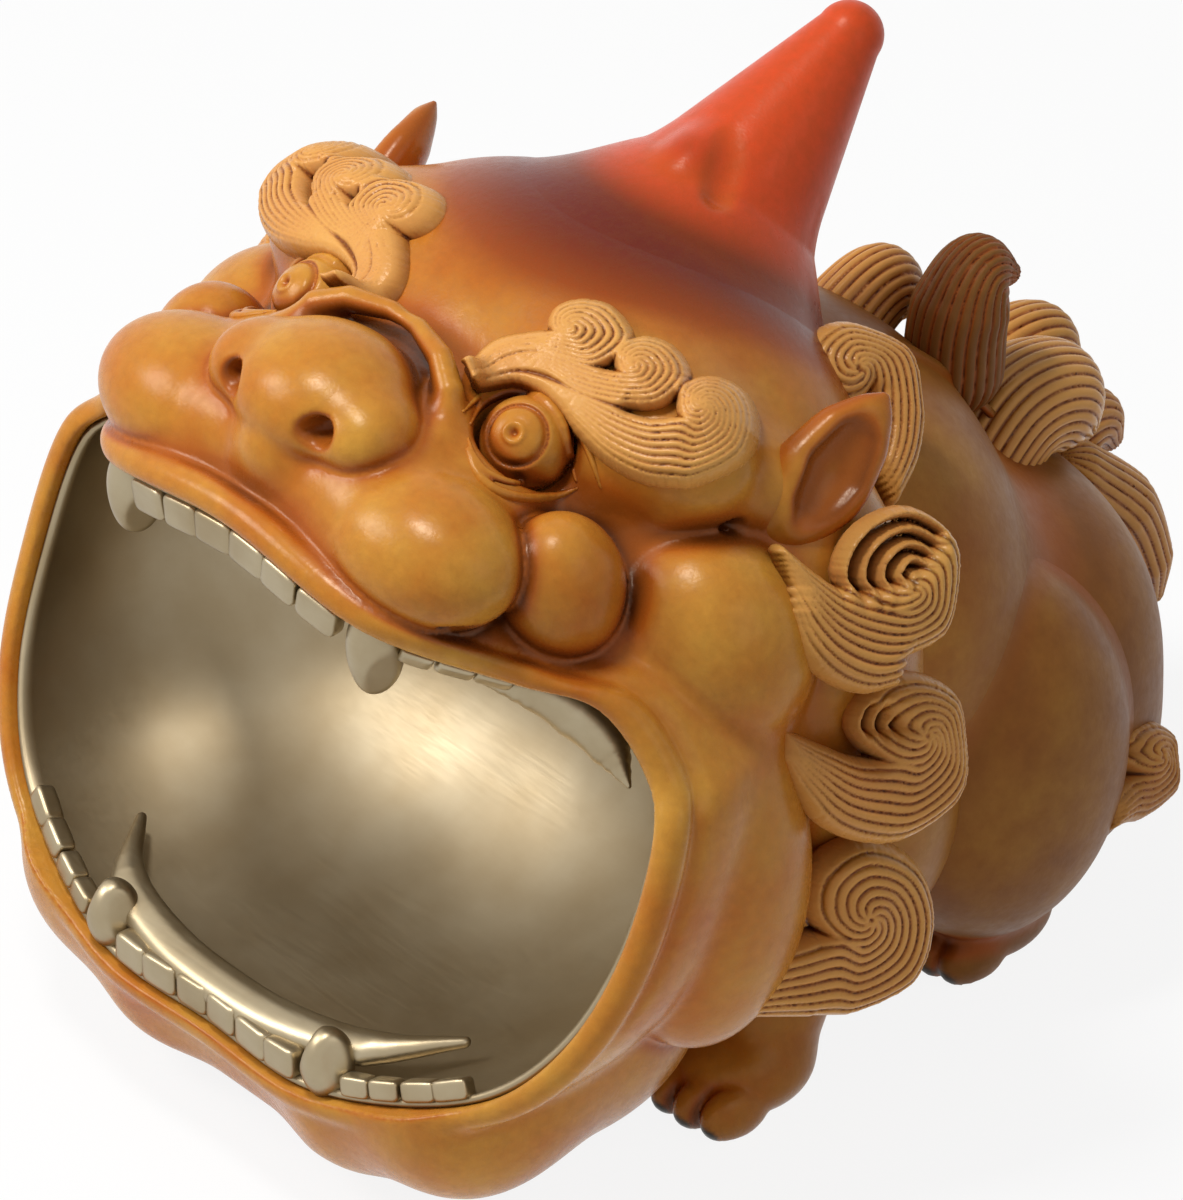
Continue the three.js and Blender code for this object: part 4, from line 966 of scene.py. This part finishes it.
def reliefOf(lock, strands, place):
    spots = [np.array([raisedSpot(lock, place, x, y)[:2] for x, y in strand], np.float32)
             for strand in strands]
    low = np.concatenate(spots).min(0) - hair["border"]
    high = np.concatenate(spots).max(0) + hair["border"]
    step = hair["step"] * skinning["coarser"]
    u, v = np.meshgrid(np.arange(low[0], high[0], step, dtype=np.float32),
                       np.arange(low[1], high[1], step, dtype=np.float32), indexing="ij")
    first = np.full(u.shape, 1e6, np.float32)
    second = first.copy()
    for strand in spots:
        near = np.full(u.shape, 1e6, np.float32)
        for a, b in zip(strand[:-1], strand[1:]):
            d = b - a
            t = np.clip(((u - a[0]) * d[0] + (v - a[1]) * d[1]) / max(float(d @ d), 1e-6), 0, 1)
            np.minimum(near, (u - a[0] - t * d[0]) ** 2 + (v - a[1] - t * d[1]) ** 2, out=near)
        second = np.minimum(second, np.maximum(first, near))
        first = np.minimum(first, near)
    first, second = np.sqrt(first), np.sqrt(second)
    across = 2 * first / np.maximum(first + second, 1e-3)  # nought on a strand, one midway to its neighbour
    sink = (1 - np.sqrt(np.maximum(1 - across ** 2, 0.0))) * np.minimum(1, (first + second) / hair["fullGap"])
    inside = np.where(first < hair["margin"], np.float32(1e3), np.float32(0))
    for _ in range(int(lock["edge"] / step) + 1):
        for axis in (0, 1):
            for way in (1, -1):
                inside = np.minimum(inside, np.roll(inside, way, axis) + step)
    height = lock["height"] * np.sqrt(np.maximum(1 - (1 - np.minimum(inside / lock["edge"], 1)) ** 2, 0))
    maps = [first - hair["margin"], height.astype(np.float32), sink.astype(np.float32)]
    return {"low": low, "step": step, "maps": maps}


def reliefAt(relief, u, v):
    maps = relief["maps"]
    x = np.clip((u - relief["low"][0]) / relief["step"], 0, maps[0].shape[0] - 1.01)
    y = np.clip((v - relief["low"][1]) / relief["step"], 0, maps[0].shape[1] - 1.01)
    i, j = x.astype(np.int32), y.astype(np.int32)
    x, y = x - i, y - j
    return [(1 - x) * ((1 - y) * m[i, j] + y * m[i, j + 1])
            + x * ((1 - y) * m[i + 1, j] + y * m[i + 1, j + 1]) for m in maps]


# Hair marks: the groove mask that paints shade in the grooves and a highlight on the ridges, and one
# brown-and-shade share for the whole lock
def hairMarks(grooveShade, brownAndShade):
    return {"grooveShade": grooveShade, "hair": np.ones_like(grooveShade), "brownAndShade": np.full_like(grooveShade, brownAndShade)}


def hairPiece(name, node, lock, bundles, ground=None):
    place = localFrame(lock["at"], lock["facing"])
    strands = [strand for bundle in bundles for strand in strandsOf(bundle)]
    relief = reliefOf(lock, strands, place)
    domes = [(raisedSpot(lock, place, *bundle["eye"]), bundle["dome"]) for bundle in bundles]

    def form(p):
        u, v, w = toLocal(p, place)
        edge, height, sink = reliefAt(relief, u, v)
        for spot, (rise, radius) in domes:
            height = height + rise * np.exp(-((u - spot[0]) ** 2 + (v - spot[1]) ** 2) / radius ** 2)
        up = w if ground is None else ground(p)
        edge = edge + hair["tuck"] * np.maximum(-up, 0)
        return np.maximum(np.maximum(up - height + hair["depth"] * sink, edge), -up - hair["under"])

    def marker(p):
        u, v, _ = toLocal(p, place)
        return hairMarks(ease(reliefAt(relief, u, v)[2], *hair["grooveShade"]), lock["brownAndShade"])

    tops = np.array([raisedSpot(lock, place, x, y) for strand in strands for x, y in strand[::4]])
    deep = 2 * hair["under"] + hair["roomBelow"]
    room = np.concatenate([tops + (0, 0, hair["roomAbove"]), tops - (0, 0, deep)])
    room = room @ np.array(place[1]) + place[0]
    carvedPair(name, node, ochreFinish, form, boxRound(room, hair["roomAside"]), hair["voxel"], marker)


maneLocks = [
    {"at": (39.1, 138.2, 148.8), "facing": (0.75, 0, 0.66), "height": 6.0, "eye": (-2.5, -1.4),
     "dome": (1.5, 6), "start": -30, "rim": [16.5, 9, 9, 6.5], "count": 7,
     "inner": [(4.5, -17.3), (5, -10), (4.3, -4.5)], "outer": [(9.5, -25.5), (13.6, -17.4), (15, -10.5)]},
    {"at": (84.7, 110.4, 130.3), "facing": (0.87, -0.1, 0.42), "height": 7.0, "eye": (0, 0),
     "dome": (2.5, 8), "start": -95, "rim": [13.4, 10, 14.5, 11.8], "count": 6,
     "inner": [(-24, 7.3), (-18, 2.7), (-12.3, -0.9), (-6, -3)],
     "outer": [(-22, 1), (-18.5, -6.4), (-13.6, -11.8), (-6.4, -14.8)],
     "strays": [[(-22, -0.8), (-18.8, -8), (-13.7, -13.5), (-6.4, -16.4), (0, -15)],
                [(-22, -2.8), (-19, -10), (-13.9, -15.5), (-6.9, -18.2), (-0.6, -16.8)],
                [(-22, -4.8), (-19.3, -12), (-14.1, -17.5), (-7.4, -20), (-1.4, -18.7)]]},
    {"at": (89.4, 109.9, 96.1), "facing": (0.9, -0.1, 0.35), "height": 7.0, "eye": (-0.5, 1.6),
     "dome": (2.5, 8), "start": -95, "rim": [20.5, 9.8, 10.4, 11.2], "count": 8,
     "inner": [(-25.5, 0), (-17.7, -3.2), (-10.5, -5.5), (-4, -5)],
     "outer": [(-26, -5), (-22, -12.3), (-16.8, -18.6), (-9.5, -21.8)]},
    {"at": (86, 99.5, 58.3), "facing": (0.9, -0.15, 0.2), "height": 7.5, "eye": (-1.3, -1.0),
     "dome": (2.5, 8), "start": -95, "rim": [20, 15, 13.2, 9], "count": 8,
     "inner": [(-26, -12), (-18.6, -8.6), (-11.4, -5.9), (-5, -3.6)],
     "outer": [(-26, -21.5), (-18.6, -21), (-11, -21.2), (-5, -21)]},
]
for number, lock in enumerate(maneLocks, 1):
    lock.update({"edge": 6.0, "brownAndShade": 0.15, "lifts": ([0], [lock["height"]])})
    hairPiece("maneLock%d" % number, "mane_lock_%s_" + str(number), lock, [lock])
hockCurl = {"at": (57.6, 199.9, 31), "facing": (0.75, 0.25, 0.3), "height": 6.0, "eye": (0.4, 4.7),
            "dome": (1.5, 5), "start": -95, "rim": [12, 5.4, 6.2, 5.6], "count": 6, "edge": 5.0, "brownAndShade": 0.5,
            "lifts": ([0], [6.0]), "inner": [(-8, -9), (-4, -4.5)], "outer": [(-7, -14.5), (-3.5, -13)]}
hairPiece("hockCurl", "hock_curl_%s", hockCurl, [hockCurl])
print("mane done")

# Brows: one band that throws up three curls, laid on the brow ridge
brow = {
    "at": (47.6, 69.8, 182.1), "facing": (0.5, -0.52, 0.69), "height": 4.2, "edge": 4.0, "brownAndShade": 0.0,
    "lifts": ([-31, -23, -16, -8, 0, 8, 15], [-13, -10, -7, -4, -3, -2, -2]),
    "bundles": [
        {"eye": (-12.8, 7.9), "start": -100, "rim": [6.4, 11.2, 5.6, 3.5], "count": 6, "dome": (1.2, 5),
         "inner": [(-19.6, -8.2), (-14.8, -3.2), (-9.2, -1.6), (-3.7, -1.2)],
         "outer": [(-18.2, -11), (-12.7, -6.2), (-7.2, -5.1), (-2.6, -6.0)]},
        {"eye": (0, 0), "start": -100, "rim": [8, 9.6, 5.8, 3.2], "count": 6, "dome": (1.2, 5),
         "inner": [(-31, -3.4), (-24.8, 1.2), (-17.2, 2.4), (-10.3, 0), (-4.8, -1.4)],
         "outer": [(-30.7, -4.1), (-24.1, -1), (-17.2, -1.5), (-11.7, -5.5), (-6.2, -7.6)]},
        {"eye": (13.8, -8.6), "start": -100, "rim": [14.6, 8.8, 6.6, 4.6], "count": 8, "dome": (1.4, 6),
         "inner": [(-44.1, 4.3), (-37.2, 6.5), (-29.7, 4.5), (-22.1, 1.4), (-17.2, -0.7), (-10.4, -2.8),
                   (-4.1, -2.4)],
         "outer": [(-43.8, 3.9), (-36.8, 5.5), (-30.4, 2.4), (-24.8, -4.5), (-18.6, -10.7), (-11.8, -14.3),
                   (-6.2, -15.2)]},
    ],
}
hairPiece("brow", "brow_%s", brow, brow["bundles"], headField)

# Ears: a pointed cup, open to the side and front. A point has two places in the view, a lift and a radius.
ear = {
    "at": (68.8, 99.6, 158.2), "facing": (0.8, -0.35, 0.35), "flat": 0.62, "steps": 28, "blend": 2.0,
    "box": ((42, 60, 130), (102, 132, 190)), "voxel": 0.55,
    "leaf": [(-11, -14, -4, 5), (-6, -11, -3, 8.5), (0, -5, -3, 10.6), (5, 1.5, -3, 8.8), (9.5, 7, -3, 5),
             (12.6, 10.8, -3, 1.4)],
    "cup": [(-3, -14, 2.5, 1.5), (0, -9.5, 2.2, 4.6), (3.6, -3.4, 1.5, 6), (7.2, 2.4, 1, 4.4),
            (9.6, 6.6, 1, 1.2)],
}
earPlace = localFrame(ear["at"], ear["facing"])


def earField(p):
    u, v, w = toLocal(p, earPlace)
    flat = [u, v, w / ear["flat"]]

    def form(points):
        spots = smoothPath([drawnIn(earPlace, *point[:3]) for point in points], ear["steps"])
        spots[:, 2] /= ear["flat"]
        return rope(flat, spots, tapered([point[3] for point in points], ear["steps"])) * ear["flat"]
    return carve(form(ear["leaf"]), form(ear["cup"]), ear["blend"])


carvedPair("ear", "ear_%s", ochreFinish, earField, ear["box"], ear["voxel"])

# Horn: a rounded cone that flares into the crown, with a fold on its left face
hornFold = {"swelling": ((1.5, 126, 182.5), (6.5, 8.5, 5.8)), "radii": (2.4, 3.2, 3.2, 2.4),
            "crease": [(5.7, 130.1, 190.6), (9, 127.5, 188.6), (11.9, 123.8, 185.7), (13.6, 120.8, 183.1)],
            "swellBlend": 4, "creaseBlend": 3}


def hornField(p):
    crown = ball(p, *headForms["skull"]) + horn["sink"]
    d = melt(hornCone(p), crown, horn["flare"])
    d = melt(d, ball(p, *hornFold["swelling"]), hornFold["swellBlend"])
    d = carve(d, rope(p, hornFold["crease"], hornFold["radii"]), hornFold["creaseBlend"])
    return np.maximum(d, ball(p, tuple(horn["foot"] + horn["middle"] * hornAxis), horn["reach"]))


carvedPiece("hornCasting", "horn", hornFinish, hornField, horn["box"], horn["voxel"], crowned=1)
print("brows, ears and horn done")

# Body: chest and rump in one casting, with a low ridge to each side of the spine
trunk = {"chest": ((0, 140, 82), (66, 50, 58)), "rump": ((0, 178, 46), (60, 44, 48)), "rumpSquare": 2.6,
         "ridge": [(15, 146, 141), (17, 160, 134), (18, 176, 120), (17, 190, 103)], "ridgeSteps": 8,
         "ridgeRadius": 1.0, "rumpBlend": 14, "ridgeBlend": 2.0,
         "box": ((-70, 86, -2), (70, 228, 144)), "voxel": 1.1}


def bodyField(p):
    side = [np.abs(p[0]), p[1], p[2]]
    d = melt(ball(p, *trunk["chest"]), squareBall(p, *trunk["rump"], trunk["rumpSquare"]), trunk["rumpBlend"])
    ridge = smoothPath(trunk["ridge"], trunk["ridgeSteps"])
    d = melt(d, rope(side, ridge, [trunk["ridgeRadius"]] * len(ridge)), trunk["ridgeBlend"])
    return onTable(d, p)


carvedPiece("bodyCasting", "body_shell", ochreFinish, bodyField, trunk["box"], trunk["voxel"])

# Legs: shoulder or thigh, forearm and a paw with four toes that end in dark claws
legs = {"shoulder": ((50, 122, 58), (22, 26, 36)), "thigh": ((49, 162, 50), (25, 31, 42)),
        "forearm": [(51, 118, 52), (52, 106, 30), (53, 97, 10)], "forearmRadii": (15, 13, 12),
        "frontPaw": ((53, 93.5, 8), (14.5, 15, 10.5)), "hindPaw": ((45, 165.5, 8), (12, 15, 10)),
        "hindReach": ((52, 164, 44), (32, 46, 58)), "hindStand": 0.4,
        "forearmBlend": 8, "frontPawBlend": 3, "thighBlend": 4, "hindPawBlend": 4,
        "frontBox": ((24, 66, -1), (76, 152, 98)), "hindBox": ((16, 120, -1), (80, 214, 104)),
        "frontVoxel": 0.8, "hindVoxel": 0.9}
toes = {"count": 4, "radii": (4.4, 8.5, 6.0), "ahead": 3, "arc": 1.4, "height": 0.75, "blend": 1.0}
claws = {"in": 0.4, "height": 1.6, "fade": (2.2, 3.4)}


def toesOf(paw):
    at, radii = paw
    last = toes["count"] - 1
    start = at[0] - radii[0] + toes["radii"][0]
    step = 2 * (radii[0] - toes["radii"][0]) / last
    return [(start + i * step, at[1] - radii[1] + toes["ahead"] + toes["arc"] * abs(i - last / 2),
             toes["radii"][2] * toes["height"]) for i in range(toes["count"])]


def pawField(p, paw):
    d = ball(p, *paw)
    for at in toesOf(paw):
        d = melt(d, ball(p, at, toes["radii"]), toes["blend"])
    return d


def clawMarks(paw):
    def marker(p):
        claw = np.zeros_like(p[0])
        for at in toesOf(paw):
            tip = (at[0], at[1] - toes["radii"][1] + claws["in"], claws["height"])
            claw = np.maximum(claw, 1 - ease(farFrom(p, tip), *claws["fade"]))
        return {"claw": claw}
    return marker


def frontLegField(p):
    d = melt(ball(p, *legs["shoulder"]), rope(p, legs["forearm"], legs["forearmRadii"]), legs["forearmBlend"])
    return onTable(melt(d, pawField(p, legs["frontPaw"]), legs["frontPawBlend"]), p)


def hindLegField(p):
    d = melt(ball(p, *legs["thigh"]), bodyField(p) + legs["hindStand"], legs["thighBlend"])
    d = melt(d, pawField(p, legs["hindPaw"]), legs["hindPawBlend"])
    return onTable(np.maximum(d, ball(p, *legs["hindReach"])), p)


for word, field in (("front", frontLegField), ("hind", hindLegField)):
    carvedPair(word + "Leg", word + "_leg_%s", ochreFinish, field, legs[word + "Box"], legs[word + "Voxel"],
               clawMarks(legs[word + "Paw"]))
print("body and legs done")

# Back locks: barrels with lengthwise grooves
barrel = {"steps": 30, "pitch": 2.7, "grooveShade": (0.15, 0.9), "margin": 2}
# How brown each lock is painted: the second lock is darker, partly its darker patina and partly painted
# shade, and the fourth is made lighter as painted light
backLocks = [
    {"across": -8, "path": [(166, 112), (174, 122), (182, 125), (190, 118)],
     "taper": (9, 9.5, 8.5, 3.5), "brownAndShade": 0.3},
    {"across": 12, "path": [(184, 115), (185.5, 127), (190, 135.5), (198.5, 131)],
     "taper": (10.5, 10.2, 7.2, 2.6), "brownAndShade": 1.35},
    {"across": -9, "path": [(204, 84), (214, 92), (224, 92), (231, 84)],
     "taper": (9.5, 10, 9.5, 4.5), "brownAndShade": 0.4},
    {"across": 11, "path": [(191, 88), (201, 97), (210, 96), (217, 88)],
     "taper": (12, 12.5, 12, 6), "brownAndShade": -0.3},
    {"across": -4, "path": [(222, 66), (230, 73), (236, 72), (240, 66)],
     "taper": (7, 8, 6.5, 3.5), "brownAndShade": 0.4},
    {"across": 6, "path": [(222, 70), (234, 56), (240, 42), (243, 32)],
     "taper": (7, 8.6, 7.4, 3.6), "brownAndShade": 0.3},
]


def backLock(name, node, lock):
    path = smoothPath([(lock["across"], y, z) for y, z in lock["path"]], barrel["steps"])
    radii = tapered(lock["taper"], barrel["steps"])
    lines = round(2 * math.pi * max(lock["taper"]) / barrel["pitch"])

    def grooves(p):
        best, phase = None, None
        for a, b in zip(path[:-1], path[1:]):
            d = unit(b - a)
            q = [p[i] - a[i] for i in range(3)]
            t = np.clip((q[0] * d[0] + q[1] * d[1] + q[2] * d[2]), 0, np.linalg.norm(b - a))
            off = [q[i] - t * d[i] for i in range(3)]
            far = off[0] ** 2 + off[1] ** 2 + off[2] ** 2
            rise = np.cross(d, (1, 0, 0))
            turn = np.arctan2(off[0], off[1] * rise[1] + off[2] * rise[2])
            if best is None:
                best, phase = far, turn
            else:
                phase = np.where(far < best, turn, phase)
                best = np.minimum(far, best)
        return np.sqrt(np.abs(np.sin(phase * lines / 2)))

    def field(p):
        return rope(p, path, radii) + hair["depth"] * (1 - grooves(p))

    def marker(p):
        return hairMarks(ease(1 - grooves(p), *barrel["grooveShade"]), lock["brownAndShade"])

    reach = max(lock["taper"]) + barrel["margin"]
    carvedPiece(name, node, ochreFinish, field, boxRound(path, reach), hair["voxel"], marker)


for number, lock in enumerate(backLocks, 1):
    backLock("backLock%d" % number, "back_lock_%d" % number, lock)
print("back locks done")

# What stays as cast or turned: base plate, screws, stud, washer and nut
for name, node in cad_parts.items():
    if node.hide_render:
        continue
    node.data.materials.clear()
    node.data.materials.append((ochreFinish if name == "base_plate" else steelFinish)[0])

# Floor, lamps and camera. A lamp is given by its direction, distance, power and size.
studio = {
    "middle": (0, 99.1, 88.4), "floorSize": 30.0, "floorShade": linear(244, 244, 243), "floorRoughness": 0.9,
    "floorGlow": 0.88, "white": (1, 1, 1, 1), "worldShade": 0.25,
    "lamps": {"key": ((-0.1, -0.25, 0.96), 0.95, 4.6, 0.18), "fill": ((0.8, 0.1, 0.55), 1.1, 0.9, 0.6),
              "left": ((-0.52, -0.58, 0.63), 1.0, 5.0, 0.36)},
}


def seenDirectly(add):
    rays = add("ShaderNodeLightPath").outputs
    seen = rays["Is Camera Ray"]
    for word in ("Is Glossy Ray", "Is Transmission Ray"):
        seen = times(add, seen, rays[word], "MAXIMUM")
    return seen


bpy.ops.mesh.primitive_plane_add(size=studio["floorSize"])
floor = bpy.context.object
floor.name = "floor"
floorFinish, add, shader, out = newMaterial("paleFloor")
dress(shader, {"Base Color": studio["floorShade"], "Roughness": studio["floorRoughness"]})
glow = add("ShaderNodeEmission", {"Color": studio["white"], "Strength": 1.0})
share = times(add, seenDirectly(add), studio["floorGlow"])
blend = add("ShaderNodeMixShader", {0: share, 1: shader.outputs[0], 2: glow.outputs[0]})
feed(out.inputs["Surface"], blend.outputs[0])
floor.data.materials.append(floorFinish)

world = bpy.data.worlds.new("studioAir")
bpy.context.scene.world = world
world.use_nodes = True
world.node_tree.nodes.clear()
add = nodesOf(world.node_tree)
bright = times(add, seenDirectly(add), 1 - studio["worldShade"])
strength = times(add, bright, studio["worldShade"], "ADD")
air = add("ShaderNodeBackground", {"Color": studio["white"], "Strength": strength})
add("ShaderNodeOutputWorld", {"Surface": air.outputs[0]})

middle = Vector(toFrame([studio["middle"]])[0])


def lookIn(holder, away, distance):
    holder.location = middle + away * distance
    holder.rotation_mode = "QUATERNION"
    holder.rotation_quaternion = (-away).to_track_quat("-Z", "Y")


for name, (direction, distance, power, size) in studio["lamps"].items():
    lamp = bpy.data.lights.new(name + "Lamp", "AREA")
    lamp.energy = power
    lamp.shape = "SQUARE"
    lamp.size = size
    lookIn(newObject(name + "Lamp", lamp), Vector(unit(direction)), distance)

view = {"azimuth": 50.0, "elevation": 34.0, "distance": 4.0, "tall": 0.240, "sensor": 36.0, "farthest": 100}
turn, tilt = math.radians(view["azimuth"]), math.radians(view["elevation"])
away = Vector((math.sin(turn) * math.cos(tilt), -math.cos(turn) * math.cos(tilt), math.sin(tilt)))
camera = newObject("camera", bpy.data.cameras.new("camera"))
camera.data.sensor_width = view["sensor"]
camera.data.lens = view["sensor"] * view["distance"] / view["tall"]
camera.data.clip_end = view["farthest"]
lookIn(camera, away, view["distance"])
bpy.context.scene.camera = camera
bpy.context.scene.view_settings.view_transform = "Standard"
print("studio done")
